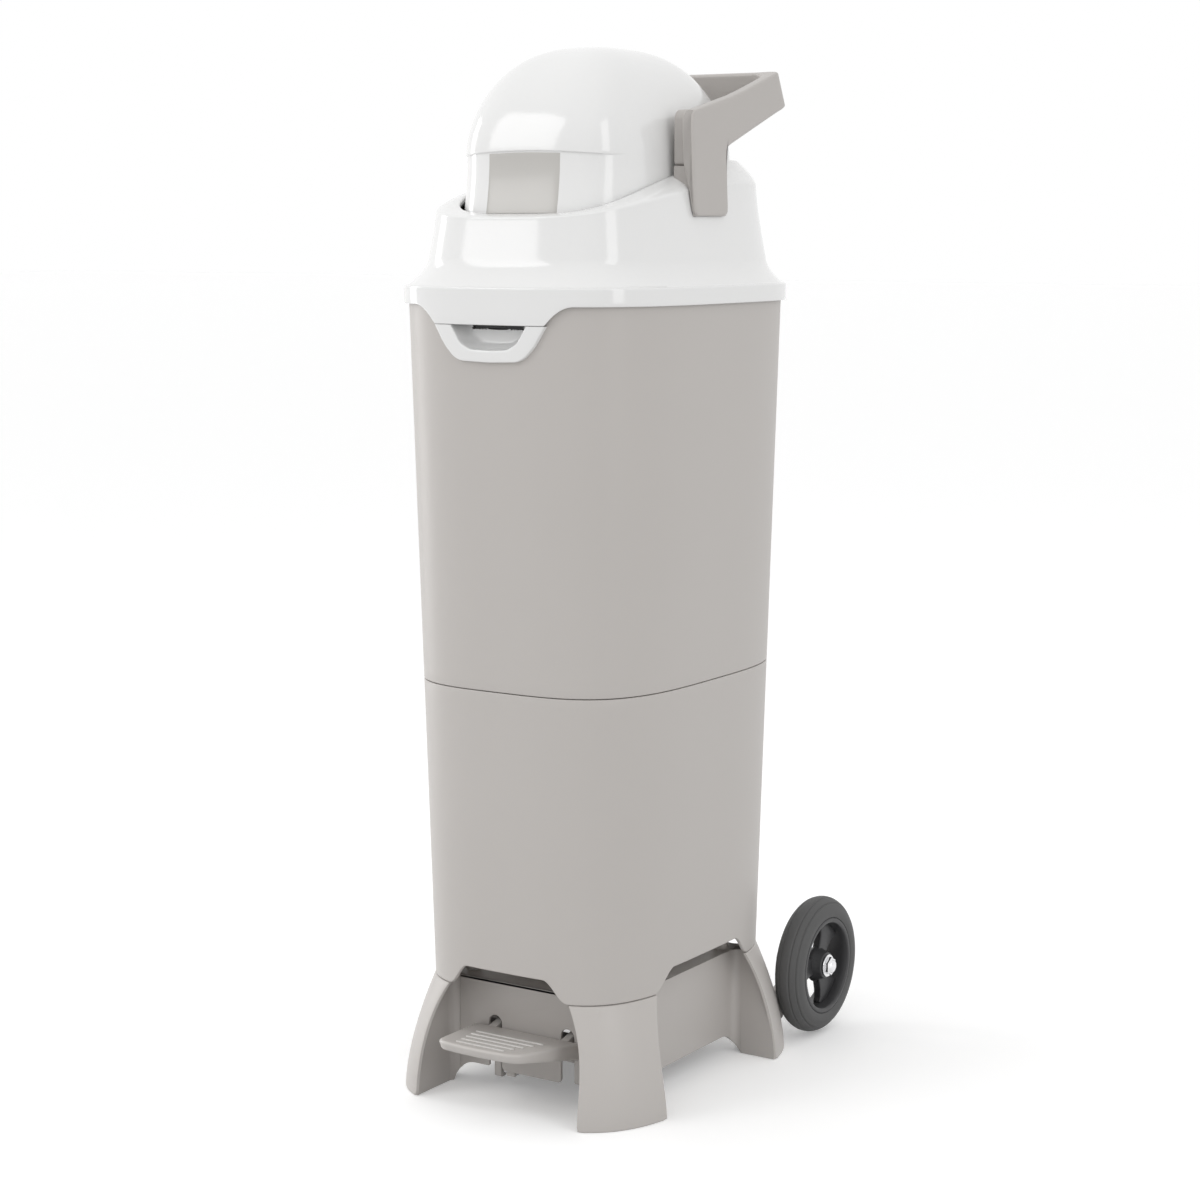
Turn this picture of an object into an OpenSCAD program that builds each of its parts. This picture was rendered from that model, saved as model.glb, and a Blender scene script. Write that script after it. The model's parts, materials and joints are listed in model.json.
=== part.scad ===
// Nappy bin with a pedal, a tipping hood, a hinged lid, a carrying handle and two rear wheels.
// +Z is up and the front faces -Y. The origin is on the floor, midway between the pedal's front
// edge and the back of the wheels.

/* [Body] */
// Width of the body where it stands on the base
body_w0 = 235.6; // [228:0.2:242]
// Depth of the body where it stands on the base
body_d0 = 314; // [308:0.5:322]
// Width of the body under the lid's flange
body_w1 = 267.2; // [262:0.2:274]
// Depth of the body under the lid's flange
body_d1 = 346.2; // [340:0.2:352]
// Height of the seam between the base and the body
base_z = 106.5; // [103:0.5:112]
// Height of the seam between the two body shells
seam_z = 383.9; // [340:0.5:430]
// Height of the lower edge of the lid's flange
lid_z = 722.7; // [690:0.5:760]
// Wall of the body shells and the base
wall = 3; // [2.5:0.1:3.5]
// Power of the rounded plan of body, base and collar
corner_power = 3.5; // [3.2:0.1:3.9]
// How far the lower shell's tongue reaches up inside the upper shell
tongue_h = 11; // [6:1:16]
// Height of the arches in the body's lower edge
arch_h = 20.2; // [14:0.2:21]
// Width of the flat part of the front and rear arches
arch_w = 82; // [70:1:92]
// Width of the flat part of the side arches
arch_d = 108; // [96:1:120]
// How far the body's floor lies above its lower edge
floor_h = 23.5; // [22:0.5:30]
// How far the body's rim reaches up inside the flange
rim_h = 13.3; // [11:0.1:14]

/* [Base] */
// How far the legs flare out sideways at the floor
flare_x = 24.8; // [20:0.2:28]
// How far the legs flare out to the front and the rear at the floor
flare_y = 26; // [22:0.5:30]
// Clear width between the front legs at the floor
leg_gap_w0 = 177.6; // [170:0.2:180]
// Clear width between the front legs at the seam
leg_gap_w1 = 132; // [124:1:140]
// Clear depth between the side legs at the floor
leg_gap_d0 = 200; // [194:1:201]
// Clear depth between the side legs at the seam
leg_gap_d1 = 160; // [152:1:168]
// Distance between the outer faces of the front and rear panels
panel_d = 228; // [222:1:234]
// Distance between the outer faces of the side panels
panel_w = 182.4; // [180.4:0.2:184]
// Depth from web to web across the side recesses
web_d = 196; // [192:1:198]
// Height of the deck's top face
deck_z = 103; // [100:0.5:103]
// Thickness of the deck
deck_t = 3; // [2.5:0.5:4]
// Clearance under the panels' lower edges
panel_z = 20; // [16:1:24]
// Width of the pedal slots in the front panel
slot_w = 14.4; // [13:0.2:16]
// Height of the pedal slots' round tops
slot_z = 70; // [69:0.5:76]

/* [Pedal] */
// Distance between the middles of the pedal's two arms
arm_pitch = 80; // [76:1:84]
// Width of each pedal arm
arm_w = 8; // [6:0.5:9]
// Height of the pedal's axle
pedal_z = 57; // [55:0.5:58]
// Distance of the pedal's axle behind the front panel's outer face
pedal_back = 16; // [15:0.5:18]
// Distance of the tread's front edge from the front panel
tread_out = 93; // [85:1:98]
// Width of the tread's rear edge
tread_w0 = 118; // [110:1:124]
// Width of the tread's front edge
tread_w1 = 86; // [78:1:94]
// Thickness of the tread at its rear edge
tread_t0 = 15.3; // [12:0.1:16]
// Thickness of the tread at its front edge
tread_t1 = 8.2; // [6:0.2:10]
// Rise of the tread's top face from rear to front
tread_rise = 9.8; // [6:0.2:12]
// Height of the tread's top face at its rear edge
tread_z = 61.2; // [60:0.1:62]
// Number of ribs on the tread
rib_count = 5; // [3:1:6]
// Radius of the pedal's axle
pedal_rod_r = 4; // [3.5:0.1:4.5]

/* [Collar] */
// How far the flange and apron stand out of the body
flange_out = 4.1; // [3.8:0.1:5]
// Height of the flange
flange_h = 16.8; // [16:0.1:19]
// Depth of the front apron below the flange
apron_h = 16.3; // [14:0.1:18]
// Width of the apron's lower edge
apron_w = 116; // [112:1:122]
// Width of the apron at the flange
apron_w1 = 168; // [160:1:176]
// Width of the collar's wall above its flare
collar_w0 = 238.8; // [234:0.2:242]
// Width of the collar's wall at its top
collar_w1 = 222; // [220:0.2:226]
// How much deeper than wide the collar is
collar_long = 80; // [76:1:82]
// How far the collar's middle lies behind the body's
collar_y = 3; // [2:0.2:4]
// Height of the rim at the front above the flange's lower edge
collar_h = 78.3; // [74:0.1:84]
// Rise of the rim from the front to the rear
rim_rise = 49; // [44:0.5:52]
// Wall of the collar, hood and handle foot
lid_wall = 2.5; // [2.2:0.1:2.8]

/* [Hood] */
// Width of the hood at its widest line
hood_w = 177.8; // [175:0.2:179]
// Depth of the hood at its widest line
hood_d = 247; // [242:0.5:250]
// Height of the hood above its widest line
hood_h = 94.5; // [86:0.5:98]
// Height of the widest line above the rim's front
hood_up = 54; // [52:0.5:57]
// How far the hood spreads on each side below its widest line
hood_spread = 1.6; // [1:0.1:2]
// Side gap between the hood and the collar's mouth
hood_gap = 2; // [1.6:0.1:3]
// Height of the hood's pins above the rim's front
pivot_up = 65; // [64:0.5:66]
// Turn of the hood when the pedal is down
hood_turn = 80; // [70:1:84]
// Width of the window
window_w = 75; // [60:1:84]
// Height of the window
window_h = 54; // [48:0.5:54.5]

/* [Handle] */
// Width of the handle
handle_w = 236; // [234:0.2:240]
// Length of the handle from its front edge to the back of its grip
handle_len = 171; // [162:1:180]
// Height of the handle
handle_h = 136; // [130:0.5:142]
// How far the handle's front edge lies before the hood's pins
handle_front = 32; // [31:0.5:34]
// Thickness of the handle's blades beside the pivot blocks
blade_t = 11; // [10:0.1:12]
// Thickness of the handle's blades at their lower ends
blade_t0 = 4.1; // [3.6:0.1:4.8]
// Thickness of the grip
grip_t = 12; // [10:0.5:14]
// Depth of the pivot blocks
block_d = 50; // [47:0.5:54]
// Height of the pivot blocks
block_h = 48.5; // [47:0.5:52]

/* [Latch] */
// Width of the finger pull's frame at its top
pull_w0 = 116; // [112:1:122]
// Width of the finger pull's frame at its lower edge
pull_w1 = 72; // [66:1:80]
// Height of the finger pull's frame
pull_h = 32; // [29:0.5:36]
// Width of the frame's rim at its lower edge
pull_rim = 10.5; // [8:0.5:12]
// Depth of the hollow behind the body's front face
pull_d = 18; // [16:0.5:20]
// Width of the catch
catch_w = 52; // [44:1:54]
// Height of the catch's pin above the lower edge of the flange
catch_up = 3.3; // [2:0.1:5]

/* [Linkage] */
// Radius of the crank on the right hood pin
crank_r = 16; // [14.5:0.1:16.4]
// Radius of the hood's pins
hood_pin_r = 4; // [3.5:0.1:4.5]
// Radius of the crank's own pin
crank_pin_r = 2.5; // [2.2:0.1:2.8]
// Radius of the plunger's rod
plunger_r = 2; // [1.8:0.1:2.2]
// Radius of the push rod
rod_r = 3; // [2.6:0.1:3.4]
// Distance of the rods before the hood's pins
rod_front = 14; // [13:0.5:15]
// Distance of the push rod's lower run from the middle of the bin
rod_x = 82; // [80:0.5:82.5]
// Turns of the return spring
spring_turns = 7; // [5:1:8]

/* [Wheels] */
// Radius of the tyres
tyre_r = 67; // [62:0.5:68]
// Radius of the tyres' section
tube_r = 14.8; // [13:0.2:15.4]
// Height of the wheels' middle
wheel_z = 69; // [69:0.5:74]
// Distance of the wheels' middle behind the middle of the body
wheel_y = 199; // [196:0.5:206]
// Distance between the tyres' middle planes
wheel_track = 252; // [250:0.5:260]
// Radius of the rims
rim_r = 47.2; // [44:0.2:49]
// Radius of the axle bolts
axle_r = 5; // [4.5:0.1:5.5]
// Thickness of the wheel brackets
bracket_t = 9.8; // [8:0.2:11]

/* [Hidden] */
// Gap between parts that run past each other
run = 0.3;
// Radial clearance of a pin that turns or slides in its bore
fit = 0.05;
// Overrun of cuts
over = 1;
// Clearance round a rod that passes a wall untouched
clear = 1;
// Overrun of cuts through the whole bin
far = 400;
// Points in a plan ring, and steps on a rounded corner
ring_n = 80;
corner_n = 5;

// Body
body_top = lid_z + rim_h;
arch_run_x = 24;
arch_run_y = 30;
post_r = 7;
post_side_gap = 8.2;
post_end_gap = 19;
post_x = panel_w / 2 - wall - post_side_gap;
post_y = panel_d / 2 - wall - post_end_gap;
ledge_w = 5;
ledge_drop = 21;
ledge_t = 3;
guide_lo_share = 0.55;
guide_hi_share = 0.7;
guide_h = 12;
guide_w = 16;

// Base
leg_power = 1.6;
edge_power = 3;
base_levels_share = [0, 0.1, 0.24, 0.4, 0.56, 0.72, 0.87, 1];
wall_x = panel_w / 2 - wall;
web_y = web_d / 2;
panel_curve = 22;
panel_flat_w = wall_x - panel_curve - wall;
panel_flat_d = web_y - panel_curve;
lug_x = 70;
lug_w = 5;
lug_r = 9;

// Lid
top_z = lid_z + flange_h;
flange_a = body_w1 / 2 + flange_out;
flange_b = body_d1 / 2 + flange_out;
flange_gap = 0.6;
flange_in_a = body_a(body_top) + flange_gap;
flange_in_b = body_b(body_top) + flange_gap;
flare_in = 3.2;
flare_drop = 0.9;
flare_knee_h = 11.1;
flare_end_h = 22.6;
flare_knee_in = 1.6;
wall_end_h = 63;
wall_power = 1.3;
rim_z = lid_z + collar_h;
rim_lead = 2;
rim_run = 240;
rim_power = 1.5;
shoulder_front = 5;
shoulder_rear = 22.4;
shoulder_power_front = 0.3;
shoulder_power_rear = 0.7;
rise_share = [0.3, 0.65];
shoulder_share = [0, 0.06, 0.16, 0.32, 0.52, 0.76, 1];
mouth_power = 4;
hood_mid_y = 2;
pivot_z = rim_z + pivot_up;
hood_z = rim_z + hood_up;
hood_low = 55;
hood_slant = 30;
hood_low_long = 4.1;
mouth_slack = 4;
mouth_b = hood_d / 2 + hood_low_long + hood_spread + mouth_slack;
dome_rise_power = 1.65;
dome_plan_power = 2.65;
dome_angles = [0, 10, 20, 30, 40, 50, 60, 69, 77, 84];
boss_r = 9;
boss_h = 6;
window_t = 1.5;

// Handle and pivot blocks
handle_drop = 2;
handle_z = rim_z - handle_drop;
handle_side_share = [
    [0.038, 0], [0.364, 0], [0.352, 0.206], [0.337, 0.44], [0.994, 0.745], [0.906, 0.971],
    [0.557, 0.834], [0.172, 0.715], [0, 0.665], [0, 0.578], [0.0105, 0.31], [0.0205, 0.168]
];
handle_corner = 5;
blade_knee_share = [0.169, 0.345];
blade_ease = 2;
handle_plan_corner = 6;
grip_corner = 15;
block_gap = 4;
block_x0 = hood_w / 2 + hood_spread + block_gap;
block_x1 = handle_w / 2 - blade_t;
block_lift = 1.75;
block_z = pivot_z - block_h / 2 + block_lift;
block_corner = 8;
block_wall = 2.5;
foot_y = 26;
screw_y = 14;
screw_up = 11;

// Latch
pull_z0 = lid_z - apron_h - run;
pull_back_t = 2.5;
pull_back_y = -(flange_b - pull_d) + pull_back_t;
pull_wall = 2;
pull_corner = 12;
pull_throat = 18.5;
slot_drop = 4;
catch_back = 8.5;
catch_y = -(flange_b - pull_d) + catch_back;
catch_z = lid_z + catch_up;
catch_t = 3;
catch_pin_r = 2;
catch_boss_r = 4;
nose_t = 3;
nose_gap = 0.8;
ear_t = 3;
ear_x = catch_w / 2 + run;
spring_hole = 16;
latch_wire_r = 0.6;
latch_turns = 6;

// Bag ring
ring_t = 3;
ring_mouth_w = 170;
ring_mouth_d = 260;
ring_lip_h = 5;
ring_lip_t = 2;
ring_front_cut = 34;

// Lid hinge
hinge_out = 6.8;
hinge_y = flange_b + hinge_out;
hinge_drop = 6.7;
hinge_z = lid_z - hinge_drop;
hinge_r = 6;
hinge_pin_r = 2.5;
hinge_lug_x = 30;
hinge_lug_w = 18;
hinge_lid_w = 14;
hinge_side = 0.4;
hinge_pin_end = 1;
hinge_bite = 3.6;
hinge_lid_x0 = hinge_lug_x + hinge_lug_w + hinge_side;

// Linkage
crank_half = hood_turn / 2;
stroke = 2 * crank_r * sin(crank_half);
crank_gap = 1;
crank_x0 = block_x0 + block_wall + crank_gap / 2;
crank_t = 3;
yoke_x0 = crank_x0 + crank_t + crank_gap / 2;
yoke_t = 3.8;
yoke_rim = 2;
yoke_play = 0.45;
crank_boss_r = 7;
plunger_x = yoke_x0 + yoke_t / 2;
plunger_foot_z = lid_z + 2 * run;
plunger_foot_r = 7;
plunger_foot_t = 3;
guide_plate_up = 46;
guide_plate_z = lid_z + guide_plate_up;
guide_plate_h = 12;
cap_r = 8;
cap_t = 5.5;
cap_z = plunger_foot_z - run;
jog_up = 10;
jog_h = 35;
rod_room_share = (2 * (plunger_x + rod_r + wall + clear) - body_w0) / (body_w1 - body_w0);
rod_room_z = mix(base_z, lid_z, clamp(rod_room_share));
jog_z0 = max(base_z + floor_h + jog_up, rod_room_z - jog_h);
lever_t = 6;
lever_h = 10;
lever_r = 8;
lever_end = 7;
ball_r = 4;
pedal_y = -panel_d / 2 + pedal_back;
lever_len = -rod_front - pedal_y;
press_half = atan(stroke / 2 / lever_len);
ball_z = pedal_z + (lever_h / 2 + ball_r + run) / cos(press_half) - stroke / 2;
rod_knee = 0.3;
rod_flange_r = wall_x - run - rod_x;
rod_flange_t = 2;
wire_r = 0.8;
spring_r = rod_flange_r - wire_r;
bush_r = 6;
bush_flange_r = 8;
bush_flange_t = 1.5;
bush_lip = 1;

// Pedal
arm_hub_r = 9;
arm_inset = 1;
tail_z = 10;
short_tail_z = 38;
tail_t = 9;
stop_pin_r = 1.5;
stop_pin_up = 5.5;
stop_pin_end = 1;
stop_x = 20;
stop_w = 9;
stop_y = -panel_d / 2 + wall + tail_t / 2;
stop_up = 3.5;
tread_gap = 4;
tread_corner = 16;
tread_bow = 4;
rib_pitch = 11.5;
rib_w = 3.4;
rib_h = 1;
rib_half = 37;
rib_step = 2.75;
rib_start = 32;
pedal_rod_end = 4;

// Wheels
boss_d = 25;
hub_boss_r = 13;
hub_web_t = 8;
rim_half = 13.7;
rim_t = 5;
spoke_gap_angle = 76;
spoke_count = 3;
spoke_rim = 4;
spoke_step = 4;
bush_t = 2.6;
spacer_r = 8;
washer_r = 11;
washer_t = 1.5;
nut_r = 8;
nut_t = 4;
nut_dome = 3;
bolt_head_r = 8.5;
bolt_head_t = 5;
bracket_y0 = 120;
bracket_z0 = 14;
bracket_z1 = 46;
bracket_boss_r = 14;
bracket_reach = 178;
bracket_ease = 2;
bracket_lean = 24;
bracket_screw_share = [0.12, 0.48];

// Screws
screw_r = 2;
screw_head_r = 4;
screw_head_t = 2.4;
base_screw_h = 22;
handle_screw_cover = 1.4;
handle_screw_h = handle_w / 2 - handle_screw_cover - wall_a(rim_z + screw_up) + lid_wall;
bracket_screw_h = 9;

wheel_x0 = panel_w / 2 + bracket_t;
hub_x = wheel_track / 2;
mid_y = (wheel_y + tyre_r - panel_d / 2 - tread_out) / 2;

white = [0.93, 0.93, 0.92];
body_grey = [0.73, 0.72, 0.7];
trim_grey = [0.69, 0.68, 0.66];
black = [0.12, 0.12, 0.12];
rubber = [0.3, 0.3, 0.3];
steel = [0.72, 0.73, 0.74];

// Moves a piece from the middle of the body to the part's own frame
module place() {
    translate([0, -mid_y, 0]) children();
}

// Draws its children and their mirror image on the other side
module both_sides() {
    children();
    mirror([1, 0, 0]) children();
}

// Extrudes an X Z outline from y0 to y1
module along_y(y0, y1) {
    translate([0, y1, 0]) rotate([90, 0, 0]) linear_extrude(y1 - y0) children();
}

// Extrudes a Y Z outline from x0 to x1
module along_x(x0, x1) {
    translate([x0, 0, 0]) rotate([90, 0, 90]) linear_extrude(x1 - x0) children();
}

// A box between two corners
module block(p, q) {
    translate(p) cube(q - p);
}

// A round bar along X from x0 to x1
module bar_x(r, x0, x1, y, z) {
    translate([x0, y, z]) rotate([0, 90, 0]) cylinder(h = x1 - x0, r = r, $fn = 48);
}

// A round bar upright from z0 to z1
module bar_z(r, x, y, z0, z1) {
    translate([x, y, z0]) cylinder(h = z1 - z0, r = r, $fn = 48);
}

function spow(v, p) = sign(v) * pow(abs(v), p);
function clamp(v) = min(1, max(0, v));
function mix(p, q, t) = p * (1 - t) + q * t;
function reverse(v) = [for (i = [len(v) - 1 : -1 : 0]) v[i]];
function mirrored(v) = [for (p = reverse(v)) [-p[0], p[1]]];

// One point of a rounded plan at step i
function plan_point(a, b, n, i, yc = 0) =
    let (t = 360 * i / ring_n)
    [a * spow(cos(t), 2 / n), yc + b * spow(sin(t), 2 / n)];

// A level ring of points
function ring(a, b, z, n = corner_power, yc = 0) = [
    for (i = [0 : ring_n - 1])
        let (p = plan_point(a, b, n, i, yc))
        [p[0], p[1], z]
];

function body_a(z) = body_w0 / 2 + (body_w1 - body_w0) / 2 * (z - base_z) / (lid_z - base_z);
function body_b(z) = body_d0 / 2 + (body_d1 - body_d0) / 2 * (z - base_z) / (lid_z - base_z);
function body_ring(z, grow = 0) = ring(body_a(z) + grow, body_b(z) + grow, z);

// An outline with each corner cut back by its own length and rounded; points are [x, y, cut]
function rounded(v) = [
    for (i = [0 : len(v) - 1])
        let (
            p = [v[i][0], v[i][1]],
            q = v[(i + len(v) - 1) % len(v)],
            s = v[(i + 1) % len(v)],
            u = [q[0], q[1]] - p,
            w = [s[0], s[1]] - p,
            c = v[i][2],
            e = p + u * min(0.49, c / norm(u)),
            f = p + w * min(0.49, c / norm(w))
        )
        for (k = [0 : (c > 0 ? corner_n : 0)])
            let (t = k / corner_n)
            mix(mix(e, p, t), mix(p, f, t), t)
];

// Faces between rings of points; the last ring joins the first where closed is true
function side_faces(count, closed) = [
    for (k = [0 : count - (closed ? 1 : 2)], i = [0 : ring_n - 1])
        let (
            j = (i + 1) % ring_n,
            m = (k + 1) % count,
            a = k * ring_n + i,
            b = k * ring_n + j,
            c = m * ring_n + j,
            d = m * ring_n + i
        )
        each [[a, d, c], [a, c, b]]
];

// A hollow form: rings up the outside and down the inside
module shell(rings) {
    polyhedron([for (r = rings) each r], side_faces(len(rings), true));
}

// A filled form: rings from bottom to top, closed by a level bottom and a tip
module dome(rings, tip) {
    n = len(rings) * ring_n;
    polyhedron(
        concat([for (r = rings) each r], [tip]),
        concat(
            side_faces(len(rings), false),
            [[for (i = [0 : ring_n - 1]) i]],
            [for (i = [0 : ring_n - 1]) [n - ring_n + i, n, n - ring_n + (i + 1) % ring_n]]
        )
    );
}

// A filled form between two level ends
module filled(rings) {
    last = (len(rings) - 1) * ring_n;
    polyhedron(
        [for (r = rings) each r],
        concat(
            side_faces(len(rings), false),
            [[for (i = [0 : ring_n - 1]) i]],
            [[for (i = [ring_n - 1 : -1 : 0]) last + i]]
        )
    );
}

function leg_swell(z) = 1 - pow(clamp(z / base_z), leg_power);
function leg_ring(z, grow) =
    ring(body_w0 / 2 + flare_x * leg_swell(z) + grow, body_d0 / 2 + flare_y * leg_swell(z) + grow, z);
function leg_edge(w0, w1, z) = mix(w0 / 2, w1 / 2, pow(clamp(z / base_z), edge_power));

// Outline of the gap between two legs
function leg_gap(w0, w1) =
    let (half = [for (s = base_levels_share) [leg_edge(w0, w1, s * base_z), s * base_z]])
    concat(
        [[w0 / 2, -over]],
        half,
        [[w1 / 2, base_z + over]],
        [[-w1 / 2, base_z + over]],
        mirrored(half),
        [[-w0 / 2, -over]]
    );

// Outline of the clearance under a panel
function panel_gap(flat) =
    let (half = [for (t = [0 : 15 : 90]) [flat + panel_curve * cos(t), panel_z * sin(t)]])
    concat([[flat + panel_curve, -over]], half, mirrored(half), [[-flat - panel_curve, -over]]);

// Outline of an arch in the body's lower edge
function body_arch(flat, run_out) =
    let (half = [
        for (k = [0 : 8])
            [flat + run_out * (1 - k / 8), base_z + arch_h * (1 - cos(180 * k / 8)) / 2]
    ])
    concat([[flat + run_out, base_z - over]], half, mirrored(half), [[-flat - run_out, base_z - over]]);

module base() {
    color(body_grey) place() difference() {
        union() {
            difference() {
                shell(concat(
                    [for (s = base_levels_share) leg_ring(s * base_z, 0)],
                    [for (s = reverse(base_levels_share)) leg_ring(s * base_z, -wall)]
                ));
                for (s = [0, 180]) {
                    rotate([0, 0, s]) along_y(-far, -panel_d / 2) polygon(leg_gap(leg_gap_w0, leg_gap_w1));
                    rotate([0, 0, s]) along_x(panel_w / 2, far) polygon(leg_gap(leg_gap_d0, leg_gap_d1));
                }
            }
            intersection() {
                filled([for (s = base_levels_share) leg_ring(s * base_z, -wall / 2)]);
                base_walls();
            }
        }
        for (x = [-1, 1] * arm_pitch / 2) {
            translate([x, 0, 0]) along_y(-panel_d / 2 - over, -panel_d / 2 + wall + over) {
                translate([-slot_w / 2, -over]) square([slot_w, slot_z - slot_w / 2 + over]);
                translate([0, slot_z - slot_w / 2]) circle(d = slot_w, $fn = 32);
            }
        }
        bar_x(pedal_rod_r + fit, -lug_x - lug_w - over, lug_x + lug_w + over, pedal_y, pedal_z);
        bar_z(rod_r + clear, rod_x, -rod_front, deck_z - deck_t - over, deck_z + over);
        for (x = [-1, 1] * post_x, y = [-1, 1] * post_y) {
            bar_z(screw_r, x, y, deck_z - deck_t - over, deck_z + over);
        }
        both_sides() {
            block(
                [panel_w / 2, bracket_y0 - run, bracket_z0 - run],
                [panel_w / 2 + bracket_t + run, far, bracket_z1 + run]
            );
            bracket_screw_places() bar_x(screw_r, -wall - over, over, 0, 0);
            translate([hub_x, wheel_y, wheel_z]) rotate([0, 90, 0])
                rotate_extrude($fn = 96) translate([tyre_r - tube_r, 0]) circle(r = tube_r + run, $fn = 48);
        }
    }
}

// Panels, webs and deck before they are trimmed to the legs
module base_walls() {
    for (s = [0, 180]) rotate([0, 0, s]) {
        along_y(-panel_d / 2, -panel_d / 2 + wall) difference() {
            translate([-panel_w / 2, 0]) square([panel_w, deck_z]);
            polygon(panel_gap(panel_flat_w));
        }
        along_x(wall_x, panel_w / 2) difference() {
            translate([-far, 0]) square([2 * far, deck_z]);
            polygon(panel_gap(panel_flat_d));
        }
        block([panel_w / 2 - over, web_y, 0], [far, web_y + wall, deck_z]);
        block([-far, web_y, 0], [-panel_w / 2 + over, web_y + wall, deck_z]);
        block([wall_x, web_y, deck_z - deck_t], [far, far, deck_z]);
        block([-far, web_y, deck_z - deck_t], [-wall_x, far, deck_z]);
    }
    block(
        [-panel_w / 2, -panel_d / 2, deck_z - deck_t],
        [panel_w / 2, panel_d / 2, deck_z]
    );
    both_sides() block(
        [lug_x, -panel_d / 2, pedal_z - lug_r],
        [lug_x + lug_w, pedal_y + lug_r, deck_z]
    );
    block(
        [-stop_x - stop_w, -panel_d / 2 + wall - over, tail_z + stop_up],
        [-stop_x, stop_y - stop_pin_r - run, pedal_z]
    );
}

module lower_body() {
    tongue_in = -wall - run;
    color(body_grey) place() difference() {
        union() {
            difference() {
                shell([
                    body_ring(base_z),
                    body_ring(seam_z),
                    body_ring(seam_z, tongue_in),
                    body_ring(seam_z + tongue_h, tongue_in),
                    body_ring(seam_z + tongue_h, tongue_in - wall),
                    body_ring(seam_z - tongue_h, tongue_in - wall),
                    body_ring(seam_z - tongue_h - wall, -wall),
                    body_ring(base_z, -wall)
                ]);
                along_y(-far, far) polygon(body_arch(arch_w / 2, arch_run_x));
                along_x(-far, far) polygon(body_arch(arch_d / 2, arch_run_y));
            }
            filled([
                body_ring(base_z + floor_h, -wall / 2),
                body_ring(base_z + floor_h + wall, -wall / 2)
            ]);
            for (x = [-1, 1] * post_x, y = [-1, 1] * post_y) {
                bar_z(post_r, x, y, deck_z, base_z + floor_h + over);
            }
        }
        for (x = [-1, 1] * post_x, y = [-1, 1] * post_y) {
            bar_z(screw_r, x, y, deck_z - over, deck_z - deck_t + base_screw_h);
        }
        bar_z(bush_r, rod_x, -rod_front, base_z, seam_z);
    }
}

module upper_body() {
    ledge_z = body_top - ledge_drop;
    lug_y = body_b(hinge_z) - wall;
    color(body_grey) place() difference() {
        union() {
            shell([
                body_ring(seam_z),
                body_ring(body_top),
                body_ring(body_top, -wall),
                body_ring(ledge_z, -wall),
                body_ring(ledge_z, -wall - ledge_w),
                body_ring(ledge_z - ledge_t, -wall - ledge_w),
                body_ring(ledge_z - ledge_t - ledge_w, -wall),
                body_ring(seam_z, -wall)
            ]);
            both_sides() {
                bar_x(hinge_r, hinge_lug_x, hinge_lug_x + hinge_lug_w, hinge_y, hinge_z);
                block(
                    [hinge_lug_x, lug_y + over, hinge_z - hinge_r],
                    [hinge_lug_x + hinge_lug_w, hinge_y, hinge_z]
                );
            }
        }
        bar_x(hinge_pin_r, -far, far, hinge_y, hinge_z);
        along_y(-far, -body_d0 / 4) polygon(pull_hollow(pull_wall));
    }
}

// Outline of the finger pull's hollow, grown by its wall
function pull_hollow(grow) =
    let (
        top = pull_z0 + 2 * over,
        w0 = pull_w0 / 2 - pull_throat + grow,
        w1 = pull_w1 / 2 - pull_rim + grow,
        z = pull_z0 - pull_h + pull_rim - grow
    )
    rounded([[-w0, top, 0], [-w1, z, pull_corner], [w1, z, pull_corner], [w0, top, 0]]);

// Outline of the finger pull's frame
function pull_outline() =
    rounded([
        [-pull_w0 / 2, pull_z0, 0],
        [-pull_w1 / 2 - pull_rim, pull_z0 - pull_h / 2, pull_corner],
        [-pull_w1 / 2, pull_z0 - pull_h, pull_corner],
        [pull_w1 / 2, pull_z0 - pull_h, pull_corner],
        [pull_w1 / 2 + pull_rim, pull_z0 - pull_h / 2, pull_corner],
        [pull_w0 / 2, pull_z0, 0]
    ]);

module latch_frame() {
    z0 = pull_z0 - pull_h - over;
    color(white) place() difference() {
        union() {
            intersection() {
                shell([
                    body_ring(z0, flange_out),
                    body_ring(pull_z0, flange_out),
                    body_ring(pull_z0, 0),
                    body_ring(z0, 0)
                ]);
                along_y(-far, 0) polygon(pull_outline());
            }
            intersection() {
                filled([body_ring(z0, flange_out / 2), body_ring(pull_z0, flange_out / 2)]);
                along_y(-far, pull_back_y) polygon(pull_hollow(pull_wall));
            }
        }
        along_y(-far, pull_back_y - pull_back_t) polygon(pull_hollow(0));
        block(
            [-catch_w / 2 - clear, pull_back_y - pull_back_t - over, pull_z0 - slot_drop],
            [catch_w / 2 + clear, pull_back_y + over, pull_z0 + over]
        );
    }
}

module bag_ring() {
    z = body_top - ledge_drop + run;
    color(black) place() difference() {
        union() {
            filled([body_ring(z, -wall - run), body_ring(z + ring_t, -wall - run)]);
            filled([
                ring(ring_mouth_w / 2 + ring_lip_t, ring_mouth_d / 2 + ring_lip_t, z, mouth_power, collar_y),
                ring(
                    ring_mouth_w / 2 + ring_lip_t, ring_mouth_d / 2 + ring_lip_t,
                    z + ring_t + ring_lip_h, mouth_power, collar_y
                )
            ]);
        }
        filled([
            ring(ring_mouth_w / 2, ring_mouth_d / 2, z - over, mouth_power, collar_y),
            ring(ring_mouth_w / 2, ring_mouth_d / 2, z + ring_t + ring_lip_h + over, mouth_power, collar_y)
        ]);
        bar_z(cap_r + 2 * clear, plunger_x, -rod_front, z - over, z + ring_t + over);
        block(
            [-ring_front_cut, -far, z - over],
            [ring_front_cut, -ring_mouth_d / 2 + collar_y - ring_lip_t - clear, z + ring_t + over]
        );
    }
}

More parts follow.
